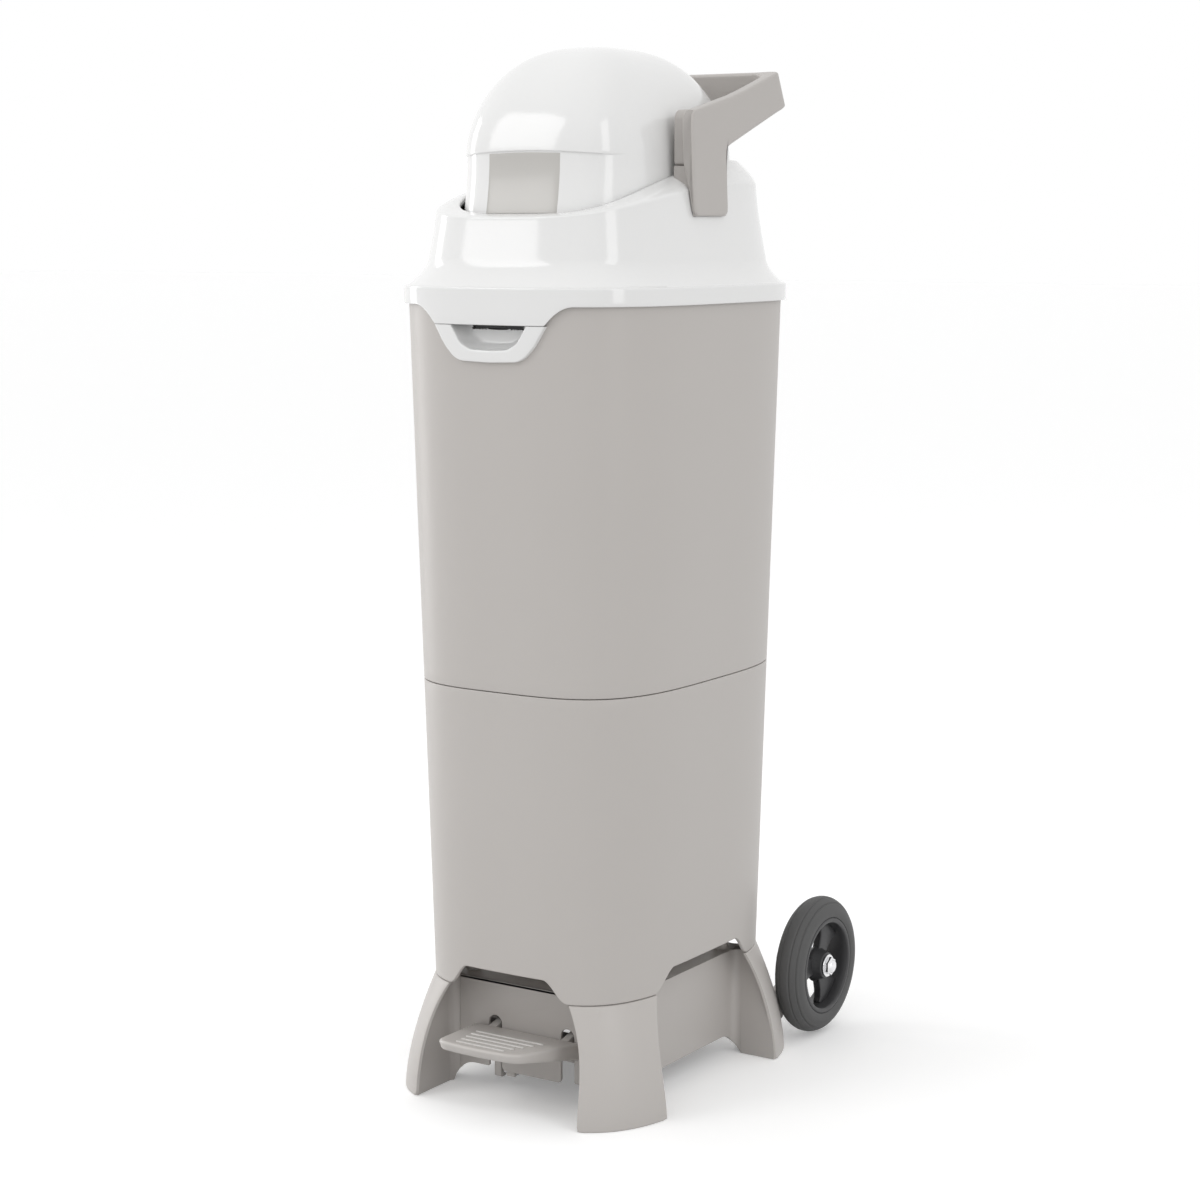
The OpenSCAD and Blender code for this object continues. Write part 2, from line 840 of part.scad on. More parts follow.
// Height of the rim, its shoulder and the wall's half width at a place
function rim_u(y) = clamp((y + collar_w1 / 2 + collar_long / 2 - rim_lead) / rim_run);
function rim_top(y) = rim_z + rim_rise * (1 - pow(1 - rim_u(y), rim_power));
function shoulder(y) = mix(shoulder_front, shoulder_rear, rim_u(y));
function shoulder_power(y) = mix(shoulder_power_front, shoulder_power_rear, rim_u(y));
function wall_a(z) =
    mix(
        collar_w1 / 2, collar_w0 / 2,
        pow(1 - clamp((z - lid_z - flare_end_h - flange_h) / wall_end_h), wall_power)
    );

// A ring of the collar's wall; part goes from the flare's end, 0, to the shoulder, 1
function wall_ring(part, grow) = [
    for (i = [0 : ring_n - 1])
        let (
            y = plan_point(collar_w1 / 2, (collar_w1 + collar_long) / 2, corner_power, i, collar_y)[1],
            z = mix(top_z + flare_end_h, rim_top(y) - shoulder(y), part) + grow * part,
            a = wall_a(z) + grow,
            p = plan_point(a, a + collar_long / 2, corner_power, i, collar_y)
        )
        [p[0], p[1], z]
];

// A ring of the shoulder; part goes from the wall, 0, to the edge of the mouth, 1
function shoulder_ring(part, grow) = [
    for (i = [0 : ring_n - 1])
        let (
            w = wall_ring(1, grow)[i],
            y = plan_point(collar_w1 / 2, (collar_w1 + collar_long) / 2, corner_power, i, collar_y)[1],
            e = plan_point(hood_w / 2 + hood_spread + hood_gap, mouth_b, mouth_power, i, collar_y),
            h = shoulder(y) * (part > 0 ? pow(part, shoulder_power(y)) : 0)
        )
        [mix(w[0], e[0], part), mix(w[1], e[1], part), w[2] + h]
];

// A ring of the flare between the flange and the wall
function flare_ring(t, grow) =
    let (
        p = [flange_a - flare_in, top_z - flare_drop],
        q = [collar_w0 / 2 + flare_knee_in, top_z + flare_knee_h],
        s = [collar_w0 / 2, top_z + flare_end_h],
        e = mix(mix(p, q, t), mix(q, s, t), t),
        long = mix(flange_b - flange_a, collar_long / 2, t)
    )
    ring(e[0] + grow, e[0] + long + grow, e[1], corner_power, collar_y * t);

module collar() {
    color(white) place() difference() {
        union() {
            shell(concat(
                [ring(flange_a, flange_b, lid_z), ring(flange_a, flange_b, top_z - flare_drop)],
                [for (t = [0 : 0.25 : 1]) flare_ring(t, 0)],
                [for (t = rise_share) wall_ring(t, 0)],
                [for (t = shoulder_share) shoulder_ring(t, 0)],
                [for (t = reverse(shoulder_share)) shoulder_ring(t, -lid_wall)],
                [for (t = reverse(rise_share)) wall_ring(t, -lid_wall)],
                [for (t = [1 : -0.25 : 0.5]) flare_ring(t, -lid_wall)],
                [
                    ring(flange_a - 3 * flare_in, flange_b - 3 * flare_in, body_top + run),
                    ring(flange_in_a, flange_in_b, body_top + run),
                    ring(flange_in_a, flange_in_b, lid_z)
                ]
            ));
            intersection() {
                shell([
                    ring(flange_a, flange_b, lid_z - apron_h),
                    ring(flange_a, flange_b, lid_z + over),
                    ring(flange_in_a, flange_in_b, lid_z + over),
                    ring(flange_in_a, flange_in_b, lid_z - apron_h)
                ]);
                along_y(-far, 0) polygon(apron_outline());
            }
            both_sides() {
                bar_x(hinge_r, hinge_lid_x0, hinge_lid_x0 + hinge_lid_w, hinge_y, hinge_z);
                block(
                    [hinge_lid_x0, flange_b - hinge_bite, hinge_z],
                    [hinge_lid_x0 + hinge_lid_w, hinge_y + hinge_r, lid_z + flange_h / 2]
                );
                block(
                    [ear_x, catch_y - catch_boss_r, catch_z - catch_boss_r],
                    [ear_x + ear_t, catch_y + catch_boss_r, top_z + over]
                );
                intersection() {
                    block([ear_x, -far, lid_z], [ear_x + ear_t, catch_y + catch_boss_r, far * 2]);
                    filled([for (t = [0 : 0.25 : 1]) flare_ring(t, -lid_wall / 2)]);
                }
            }
        }
        bar_x(hinge_pin_r + fit, -far, far, hinge_y, hinge_z);
        bar_x(catch_pin_r, -far / 2, far / 2, catch_y, catch_z);
        bar_z(plunger_r + clear, plunger_x, -rod_front, top_z + flare_end_h, pivot_z);
        both_sides() handle_screw_places() {
            bar_x(screw_r, -2 * lid_wall, lid_wall, 0, 0);
            bar_x(screw_head_r + run, -lid_wall - screw_head_t - over, -lid_wall, 0, 0);
        }
    }
}

// Outline of the apron below the flange
function apron_outline() =
    rounded([
        [-apron_w1 / 2, lid_z + 2 * over, 0],
        [-apron_w1 / 2, lid_z, 0],
        [-apron_w / 2 - apron_h / 2, lid_z - apron_h / 6, apron_h / 2],
        [-apron_w / 2 - apron_h / 3, lid_z - apron_h, apron_h / 2],
        [apron_w / 2 + apron_h / 3, lid_z - apron_h, apron_h / 2],
        [apron_w / 2 + apron_h / 2, lid_z - apron_h / 6, apron_h / 2],
        [apron_w1 / 2, lid_z, 0],
        [apron_w1 / 2, lid_z + 2 * over, 0]
    ]);

// Lower edge of the hood at a place
function hood_edge(y) = hood_z - hood_low + hood_slant * (y / hood_d + 0.5);

// A ring of the hood below its widest line; part goes from the lower edge, 0, to the line, 1
function hood_side(part, grow, drop = 0) = [
    for (i = [0 : ring_n - 1])
        let (
            s = 1 - part,
            a = hood_w / 2 + hood_spread * s * s + grow,
            b = hood_d / 2 + (hood_spread + hood_low_long) * s * s + grow,
            p = plan_point(a, b, mouth_power, i, hood_mid_y)
        )
        [p[0], p[1], mix(hood_edge(p[1]) - drop, hood_z, part)]
];
function hood_dome(w, grow) =
    let (f = pow(cos(w), 2 / dome_plan_power), h = hood_h + grow)
    ring(
        (hood_w / 2 + grow) * f, (hood_d / 2 + grow) * f,
        hood_z + h * pow(sin(w), 2 / dome_rise_power), mouth_power, hood_mid_y
    );
function hood_rings(grow, drop = 0) = concat(
    [hood_side(0, grow, drop), hood_side(0.5, grow, drop)],
    [for (w = dome_angles) hood_dome(w, grow)]
);
function hood_tip(grow) = [0, hood_mid_y, hood_z + hood_h + grow];

module hood() {
    x = hood_w / 2 - lid_wall / 2;
    color(white) place() difference() {
        union() {
            difference() {
                dome(hood_rings(0), hood_tip(0));
                dome(hood_rings(-lid_wall, over), hood_tip(-lid_wall));
            }
            both_sides() bar_x(boss_r, x - boss_h - lid_wall, x, 0, pivot_z);
        }
        bar_x(hood_pin_r, -far / 2, far / 2, 0, pivot_z);
        window_band(over);
    }
}

// The layer of the hood's skin that the window fills
module window_band(proud) {
    intersection() {
        difference() {
            filled([for (t = [0, 0.5, 1]) hood_side(t, proud, over)]);
            filled([for (t = [0, 0.5, 1]) hood_side(t, -window_t, 2 * over)]);
        }
        block([-window_w / 2, -far, hood_z - window_h], [window_w / 2, 0, hood_z]);
    }
}

module hood_window() {
    color(trim_grey) place() window_band(0);
}

// The collar's outer form as a filled mass
module collar_mass() {
    dome(
        concat(
            [for (t = concat([0], rise_share)) wall_ring(t, 0)],
            [for (t = shoulder_share) shoulder_ring(t, 0)]
        ),
        [0, collar_y, rim_z + rim_rise / 2]
    );
}

// Side view of the handle
function handle_side() = rounded([
    for (p = handle_side_share)
        [p[0] * handle_len - handle_front, handle_z + p[1] * handle_h, handle_corner]
]);

module handle() {
    x1 = handle_w / 2;
    knee0 = handle_z + blade_knee_share[0] * handle_h;
    knee1 = handle_z + blade_knee_share[1] * handle_h;
    rear = handle_len - handle_front;
    lean = (handle_side_share[4][0] - handle_side_share[5][0]) * handle_len;
    low = handle_z + handle_side_share[4][1] * handle_h;
    high = handle_z + handle_side_share[5][1] * handle_h;
    in0 = [rear - grip_t + lean / 4, low - lean / 2];
    in1 = [rear - grip_t - lean, high + lean / 2];
    color(trim_grey) place() difference() {
        union() {
            intersection() {
                along_x(-x1, x1) polygon(handle_side());
                union() {
                    both_sides() along_y(-far, far) polygon([
                        [x1 - blade_t0, handle_z - over],
                        [x1, handle_z - over],
                        [x1, handle_z + handle_h + over],
                        [x1 - blade_t, handle_z + handle_h + over],
                        [x1 - blade_t, knee1],
                        [x1 - blade_t0 - blade_ease, knee0]
                    ]);
                    along_x(-x1, x1) polygon([
                        in0,
                        [rear + lean, low - lean / 2],
                        [rear, high + lean / 2],
                        in1
                    ]);
                    both_sides() translate([x1 - blade_t, in0[0], in0[1]])
                        rotate([atan((in0[0] - in1[0]) / (in1[1] - in0[1])), 0, 0]) difference() {
                            block([-grip_corner, -grip_corner, -lean], [over, over, 4 * lean]);
                            translate([-grip_corner, -grip_corner, -2 * lean])
                                cylinder(h = 8 * lean, r = grip_corner, $fn = 64);
                        }
                }
                linear_extrude(far * 3) polygon(rounded([
                    [-x1, -far, 0],
                    [x1, -far, 0],
                    [x1, rear, handle_plan_corner],
                    [-x1, rear, handle_plan_corner]
                ]));
            }
            both_sides() block(
                [block_x0, -foot_y, rim_z],
                [x1 - blade_t0, foot_y, block_z]
            );
        }
        collar_mass();
        bar_z(plunger_r + clear, plunger_x, -rod_front, rim_z, block_z + over);
        both_sides() handle_screw_places() bar_x(screw_r, -over, handle_screw_h - lid_wall, 0, 0);
    }
}

// Places of a handle screw on the collar's outer face, on the right
module handle_screw_places() {
    for (y = [-1, 1] * screw_y) {
        translate([wall_a(rim_z + screw_up), y, rim_z + screw_up]) children();
    }
}

// A pivot block: a cup that is open towards the handle
module pivot_block() {
    v = block_d / 2;
    color(trim_grey) difference() {
        along_x(block_x0, block_x1) polygon(rounded([
            [-v, block_z, block_corner / 2],
            [v, block_z, block_corner / 2],
            [v, block_z + block_h, block_corner],
            [-v, block_z + block_h, block_corner]
        ]));
        along_x(block_x0 + block_wall, block_x1 + over) polygon(rounded([
            [-v + block_wall, block_z + block_wall, block_corner / 2],
            [v - block_wall, block_z + block_wall, block_corner / 2],
            [v - block_wall, block_z + block_h - block_wall, block_corner],
            [-v + block_wall, block_z + block_h - block_wall, block_corner]
        ]));
        bar_x(hood_pin_r + fit, block_x0 - over, block_x0 + block_wall + over, 0, pivot_z);
    }
}

module pivot_block_left() {
    place() mirror([1, 0, 0]) pivot_block();
}

module pivot_block_right() {
    place() difference() {
        pivot_block();
        color(trim_grey)
            bar_z(plunger_r + clear, plunger_x, -rod_front, block_z - over, block_z + 2 * block_wall);
    }
}

// A hood pin with its head inside the hood
module hood_pin(tip) {
    x = hood_w / 2 - lid_wall / 2 - boss_h - lid_wall;
    color(steel) {
        bar_x(hood_pin_r, x, tip, 0, pivot_z);
        bar_x(hood_pin_r + screw_head_t, x - screw_head_t, x, 0, pivot_z);
    }
}

module hood_pin_left() {
    place() mirror([1, 0, 0]) hood_pin(crank_x0 + crank_t);
}

module hood_pin_right() {
    place() hood_pin(crank_x0 + crank_t);
}

module crank() {
    y = -crank_r * cos(crank_half);
    z = pivot_z - crank_r * sin(crank_half);
    color(steel) place() difference() {
        union() {
            bar_x(crank_boss_r, crank_x0, crank_x0 + crank_t, 0, pivot_z);
            bar_x(crank_pin_r + yoke_rim, crank_x0, crank_x0 + crank_t, y, z);
            translate([crank_x0, 0, pivot_z]) rotate([180 + crank_half, 0, 0])
                block([0, 0, -crank_pin_r], [crank_t, crank_r, crank_pin_r]);
            bar_x(crank_pin_r, crank_x0, yoke_x0 + yoke_t, y, z);
        }
        bar_x(hood_pin_r, crank_x0 - over, crank_x0 + crank_t + over, 0, pivot_z);
    }
}

module plunger() {
    z = pivot_z - crank_r * sin(crank_half);
    near = -crank_r * cos(crank_half) + crank_pin_r + yoke_play;
    out = -crank_r - crank_pin_r - yoke_play;
    half = crank_pin_r + yoke_play;
    color(steel) place() union() {
        difference() {
            block(
                [yoke_x0, out - yoke_rim, z - half - yoke_rim],
                [yoke_x0 + yoke_t, near + yoke_rim, z + half + yoke_rim]
            );
            block([yoke_x0 - over, out, z - half], [yoke_x0 + yoke_t + over, near, z + half]);
        }
        bar_z(plunger_r, plunger_x, -rod_front, plunger_foot_z, z - half - yoke_rim / 2);
        bar_z(plunger_foot_r, plunger_x, -rod_front, plunger_foot_z, plunger_foot_z + plunger_foot_t);
    }
}

// A bracket on a wall's inner face that guides an upright rod
module rod_bracket(r, z, h) {
    difference() {
        block(
            [plunger_x - guide_w / 2, -rod_front - guide_w / 2, z],
            [plunger_x + guide_w * 2, -rod_front + guide_w / 2, z + h]
        );
        bar_z(r + fit, plunger_x, -rod_front, z - over, z + h + over);
    }
}

module plunger_guide() {
    guide_in = lid_wall + run;
    color(trim_grey) place() intersection() {
        rod_bracket(plunger_r, guide_plate_z, guide_plate_h);
        filled([
            for (z = [guide_plate_z - over, guide_plate_z + guide_plate_h + over])
                ring(wall_a(z) - guide_in, wall_a(z) + collar_long / 2 - guide_in, z, corner_power, collar_y)
        ]);
    }
}

module body_guide(z) {
    color(trim_grey) place() intersection() {
        rod_bracket(rod_r, z, guide_h);
        filled([body_ring(z - over, -wall - run / 2), body_ring(z + guide_h + over, -wall - run / 2)]);
    }
}

module rod_guide_lower() {
    body_guide(mix(rod_room_z, seam_z, guide_lo_share));
}

module rod_guide_upper() {
    body_guide(mix(seam_z, lid_z, guide_hi_share));
}

module floor_bush() {
    z = base_z + floor_h;
    color(black) place() difference() {
        union() {
            bar_z(bush_r, rod_x, -rod_front, z - bush_lip, z + wall + bush_flange_t);
            bar_z(bush_flange_r, rod_x, -rod_front, z + wall, z + wall + bush_flange_t);
        }
        bar_z(rod_r + fit, rod_x, -rod_front, z - 2 * over, z + wall + 2 * bush_flange_t);
    }
}

module push_rod() {
    y = -rod_front;
    d = plunger_x - rod_x;
    color(steel) place() union() {
        translate([rod_x, y, ball_z]) sphere(r = ball_r, $fn = 32);
        bar_z(rod_r, rod_x, y, ball_z, jog_z0);
        bar_z(rod_flange_r, rod_x, y, ball_z + ball_r, ball_z + ball_r + rod_flange_t);
        translate([rod_x, y, jog_z0]) sphere(r = rod_r + rod_knee, $fn = 32);
        translate([rod_x, y, jog_z0]) rotate([0, atan(d / jog_h), 0])
            cylinder(h = norm([d, jog_h]), r = rod_r, $fn = 32);
        translate([plunger_x, y, jog_z0 + jog_h]) sphere(r = rod_r + rod_knee, $fn = 32);
        bar_z(rod_r, plunger_x, y, jog_z0 + jog_h, cap_z - cap_t / 2);
    }
}

module rod_cap() {
    color(black) place() difference() {
        bar_z(cap_r, plunger_x, -rod_front, cap_z - cap_t, cap_z);
        bar_z(rod_r, plunger_x, -rod_front, cap_z - cap_t - over, cap_z - cap_t / 2);
    }
}

// Side view of a pedal arm whose tail ends at a height
function arm_side(tail) =
    let (back = -panel_d / 2 + wall + run, z0 = tread_z - tread_t0)
    rounded([
        [-panel_d / 2 - tread_gap - 2 * wall, z0 + wall, 0],
        [-panel_d / 2 - wall, z0 + arm_inset, wall],
        [back, z0 - wall, wall],
        [back, tail, wall],
        [back + tail_t, tail, wall],
        [pedal_y + arm_hub_r - wall, pedal_z, wall],
        [pedal_y + wall, pedal_z + arm_hub_r, wall],
        [pedal_y - wall, pedal_z + arm_hub_r, wall],
        [-panel_d / 2 - tread_gap - 2 * wall, tread_z - arm_inset, 0]
    ]);

module pedal() {
    y0 = -panel_d / 2 - tread_gap;
    y1 = -panel_d / 2 - tread_out;
    top1 = tread_z + tread_rise;
    slope = atan(tread_rise / (y0 - y1));
    color(body_grey) place() difference() {
        union() {
            intersection() {
                linear_extrude(base_z) polygon(rounded([
                    [-tread_w0 / 2, y0, wall],
                    [-tread_w1 / 2, y1 + tread_bow, tread_corner],
                    [0, y1, 0],
                    [tread_w1 / 2, y1 + tread_bow, tread_corner],
                    [tread_w0 / 2, y0, wall]
                ]));
                along_x(-far, far) polygon([
                    [y0, tread_z],
                    [y0 - wall, tread_z - tread_t0],
                    [y1, top1 - tread_t1],
                    [y1, top1]
                ]);
            }
            for (k = [0 : rib_count - 1]) {
                translate([0, y0, tread_z]) rotate([-slope, 0, 0]) block(
                    [-rib_half + rib_step * k, -rib_start - rib_pitch * k, -rib_h],
                    [rib_half - rib_step * k, -rib_start - rib_pitch * k + rib_w, rib_h]
                );
            }
            for (x = [-1, 1] * arm_pitch / 2) {
                along_x(x - arm_w / 2, x + arm_w / 2) polygon(arm_side(x < 0 ? tail_z : short_tail_z));
                bar_x(arm_hub_r, x - arm_w / 2, x + arm_w / 2, pedal_y, pedal_z);
            }
        }
        bar_x(pedal_rod_r, -far, far, pedal_y, pedal_z);
        bar_x(stop_pin_r, -far, 0, stop_y, tail_z + stop_pin_up);
    }
}

module pedal_stop_pin() {
    color(steel) place()
        bar_x(stop_pin_r, -arm_pitch / 2 - arm_w / 2 - stop_pin_end, -stop_x, stop_y, tail_z + stop_pin_up);
}

module pedal_rod() {
    color(steel) place() bar_x(
        pedal_rod_r, -lug_x - lug_w - pedal_rod_end, rod_x + lever_t / 2, pedal_y, pedal_z
    );
}

module pedal_lever() {
    x = rod_x - lever_t / 2;
    color(steel) place() difference() {
        union() {
            bar_x(lever_r, x, x + lever_t, pedal_y, pedal_z);
            translate([x, pedal_y, pedal_z]) rotate([-press_half, 0, 0])
                block([0, 0, -lever_h / 2], [lever_t, lever_len + lever_end, lever_h / 2]);
        }
        bar_x(pedal_rod_r, x - over, x + lever_t + over, pedal_y, pedal_z);
    }
}

// A coil of wire along Z with straight ends cut square, as one tube
module coil(r, wire, h, turns, steps = 14, sides = 6) {
    count = turns * steps;
    pts = [
        for (k = [0 : count], i = [0 : sides - 1])
            let (
                t = 360 * k / steps,
                w = 360 * i / sides,
                m = r + wire * cos(w),
                z = wire + (h - 2 * wire) * k / count + wire * sin(w)
            )
            [m * cos(t), m * sin(t), z]
    ];
    faces = [
        for (k = [0 : count - 1], i = [0 : sides - 1])
            let (
                j = (i + 1) % sides,
                a = k * sides + i,
                b = k * sides + j,
                c = (k + 1) * sides + j,
                d = (k + 1) * sides + i
            )
            each [[a, d, c], [a, c, b]]
    ];
    ends = [[for (i = [0 : sides - 1]) i], [for (i = [sides - 1 : -1 : 0]) count * sides + i]];
    polyhedron(pts, concat(faces, ends));
}

module return_spring() {
    z0 = ball_z + ball_r + rod_flange_t;
    color(steel) place() translate([rod_x, -rod_front, z0])
        coil(spring_r, wire_r, deck_z - deck_t - z0, spring_turns);
}

module latch_lever() {
    z0 = pull_z0 - slot_drop + nose_gap;
    spread = spring_hole / 2;
    color(black) place() difference() {
        union() {
            bar_x(catch_boss_r, -catch_w / 2, catch_w / 2, catch_y, catch_z);
            block([-catch_w / 2, catch_y - catch_t / 2, z0], [catch_w / 2, catch_y + catch_t / 2, catch_z]);
            block(
                [-catch_w / 2, pull_back_y - pull_back_t + nose_gap, z0],
                [catch_w / 2, catch_y, z0 + nose_t]
            );
        }
        bar_x(catch_pin_r + fit, -catch_w, catch_w, catch_y, catch_z);
        block(
            [-spread, catch_y - 2 * catch_boss_r, catch_z - catch_boss_r - over],
            [spread, catch_y + 2 * catch_boss_r, catch_z + catch_boss_r + over]
        );
    }
}

module latch_pin() {
    end = ear_x + ear_t;
    color(steel) place() bar_x(catch_pin_r, -end, end, catch_y, catch_z);
}

module latch_spring() {
    color(steel) place() translate([-spring_hole / 2 + run, catch_y, catch_z]) rotate([0, 90, 0])
        coil(catch_pin_r + latch_wire_r + run / 2, latch_wire_r, spring_hole - 2 * run, latch_turns);
}

module wheel_bracket() {
    color(body_grey) difference() {
        union() {
            along_x(panel_w / 2, wheel_x0) polygon([
                [bracket_y0, bracket_z0],
                [bracket_reach, bracket_z0],
                [wheel_y + bracket_boss_r * cos(bracket_lean), wheel_z - bracket_boss_r * sin(bracket_lean)],
                [wheel_y - bracket_boss_r * cos(bracket_lean), wheel_z + bracket_boss_r * sin(bracket_lean)],
                [bracket_reach + bracket_ease, bracket_z1],
                [bracket_y0, bracket_z1]
            ]);
            bar_x(bracket_boss_r, panel_w / 2, wheel_x0, wheel_y, wheel_z);
        }
        bar_x(axle_r, 0, far, wheel_y, wheel_z);
        bracket_screw_places() bar_x(screw_r, -over, bracket_screw_h - wall, 0, 0);
    }
}

// Places of the bracket screws on the right wall's outer face
module bracket_screw_places() {
    for (s = bracket_screw_share) {
        translate([panel_w / 2, mix(bracket_y0, bracket_reach, s), (bracket_z0 + bracket_z1) / 2])
            children();
    }
}

module wheel_bracket_left() {
    place() mirror([1, 0, 0]) wheel_bracket();
}

module wheel_bracket_right() {
    place() wheel_bracket();
}

module axle_bolt() {
    color(steel) {
        bar_x(bolt_head_r, panel_w / 2 - bolt_head_t, panel_w / 2, wheel_y, wheel_z);
        bar_x(axle_r, panel_w / 2 - over, hub_x + boss_d / 2 + washer_t + nut_t, wheel_y, wheel_z);
        bar_x(spacer_r, wheel_x0, hub_x - boss_d / 2 - run, wheel_y, wheel_z);
    }
}

module axle_bolt_left() {
    place() mirror([1, 0, 0]) axle_bolt();
}

module axle_bolt_right() {
    place() axle_bolt();
}

module tyre() {
    color(rubber) translate([hub_x, wheel_y, wheel_z]) rotate([0, 90, 0])
        rotate_extrude($fn = 96) difference() {
            translate([tyre_r - tube_r, 0]) circle(r = tube_r, $fn = 48);
            translate([0, -tube_r]) square([rim_r, 2 * tube_r]);
        }
}

module tyre_left() {
    place() mirror([1, 0, 0]) tyre();
}

module tyre_right() {
    place() tyre();
}

module hub() {
    r0 = hub_boss_r + rim_t;
    r1 = rim_r - rim_t - spoke_rim;
    color(black) difference() {
        union() {
            bar_x(hub_boss_r, hub_x - boss_d / 2, hub_x + boss_d / 2, wheel_y, wheel_z);
            difference() {
                bar_x(rim_r, hub_x - rim_half, hub_x + rim_half, wheel_y, wheel_z);
                bar_x(rim_r - rim_t, hub_x - rim_half - over, hub_x + rim_half + over, wheel_y, wheel_z);
            }
            bar_x(rim_r - over, hub_x - hub_web_t / 2, hub_x + hub_web_t / 2, wheel_y, wheel_z);
        }
        translate([0, wheel_y, wheel_z]) for (k = [1 : spoke_count]) rotate([360 * k / spoke_count, 0, 0])
            along_x(hub_x - boss_d, hub_x + boss_d) polygon(concat(
                [for (t = [-spoke_gap_angle / 2 : spoke_step : spoke_gap_angle / 2]) r1 * [cos(t), sin(t)]],
                [for (t = [spoke_gap_angle / 2 : -spoke_step : -spoke_gap_angle / 2]) r0 * [cos(t), sin(t)]]
            ));
        bar_x(axle_r + fit + bush_t, 0, far, wheel_y, wheel_z);
    }
}

module hub_left() {
    place() mirror([1, 0, 0]) hub();
}

module hub_right() {
    place() hub();
}

module bush() {
    color(steel) difference() {
        bar_x(axle_r + fit + bush_t, hub_x - boss_d / 2, hub_x + boss_d / 2, wheel_y, wheel_z);
        bar_x(axle_r + fit, 0, far, wheel_y, wheel_z);
    }
}

module bush_left() {
    place() mirror([1, 0, 0]) bush();
}

module bush_right() {
    place() bush();
}

module axle_washers() {
    x = hub_x + boss_d / 2 + run;
    color(steel) place() both_sides() difference() {
        bar_x(washer_r, x, x + washer_t, wheel_y, wheel_z);
        bar_x(axle_r, 0, far, wheel_y, wheel_z);
    }
}

module cap_nuts() {
    x = hub_x + boss_d / 2 + run + washer_t;
    color(steel) place() both_sides() difference() {
        union() {
            translate([x, wheel_y, wheel_z]) rotate([0, 90, 0]) cylinder(h = nut_t, r = nut_r, $fn = 6);
            translate([x + nut_t, wheel_y, wheel_z]) rotate([0, 90, 0]) rotate_extrude($fn = 48)
                intersection() {
                    translate([0, nut_dome - nut_r]) circle(r = nut_r, $fn = 64);
                    translate([0, -over / 2]) square(nut_r);
                }
        }
        bar_x(axle_r, 0, hub_x + boss_d / 2 + washer_t + nut_t, wheel_y, wheel_z);
    }
}

module lid_hinge_pin() {
    end = hinge_lid_x0 + hinge_lid_w + hinge_pin_end;
    color(steel) place() bar_x(hinge_pin_r, -end, end, hinge_y, hinge_z);
}

// A pan-head screw along +X with its head's underside at 0
module screw(h) {
    bar_x(screw_r, -over / 2, h, 0, 0);
    bar_x(screw_head_r, -screw_head_t, 0, 0, 0);
}

module handle_screws() {
    color(steel) place() both_sides() handle_screw_places()
        translate([-lid_wall, 0, 0]) screw(handle_screw_h);
}

module base_screws() {
    color(steel) place() for (x = [-1, 1] * post_x, y = [-1, 1] * post_y) {
        translate([x, y, deck_z - deck_t]) rotate([0, -90, 0]) screw(base_screw_h);
    }
}

module bracket_screws() {
    color(steel) place() both_sides() bracket_screw_places()
        translate([-wall, 0, 0]) screw(bracket_screw_h);
}

base();
lower_body();
upper_body();
latch_frame();
bag_ring();
collar();
hood();
hood_window();
handle();
pivot_block_left();
pivot_block_right();
hood_pin_left();
hood_pin_right();
crank();
plunger();
plunger_guide();
push_rod();
rod_cap();
rod_guide_lower();
rod_guide_upper();
floor_bush();
pedal();
pedal_lever();
pedal_rod();
pedal_stop_pin();
return_spring();
latch_lever();
latch_pin();
latch_spring();
wheel_bracket_left();
wheel_bracket_right();
axle_bolt_left();
axle_bolt_right();
tyre_left();
tyre_right();
hub_left();
hub_right();
bush_left();
bush_right();
axle_washers();
cap_nuts();
lid_hinge_pin();
handle_screws();
base_screws();
bracket_screws();
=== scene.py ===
"""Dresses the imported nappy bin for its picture: smooth shells, plastics, floor, light and camera."""

import json
import math

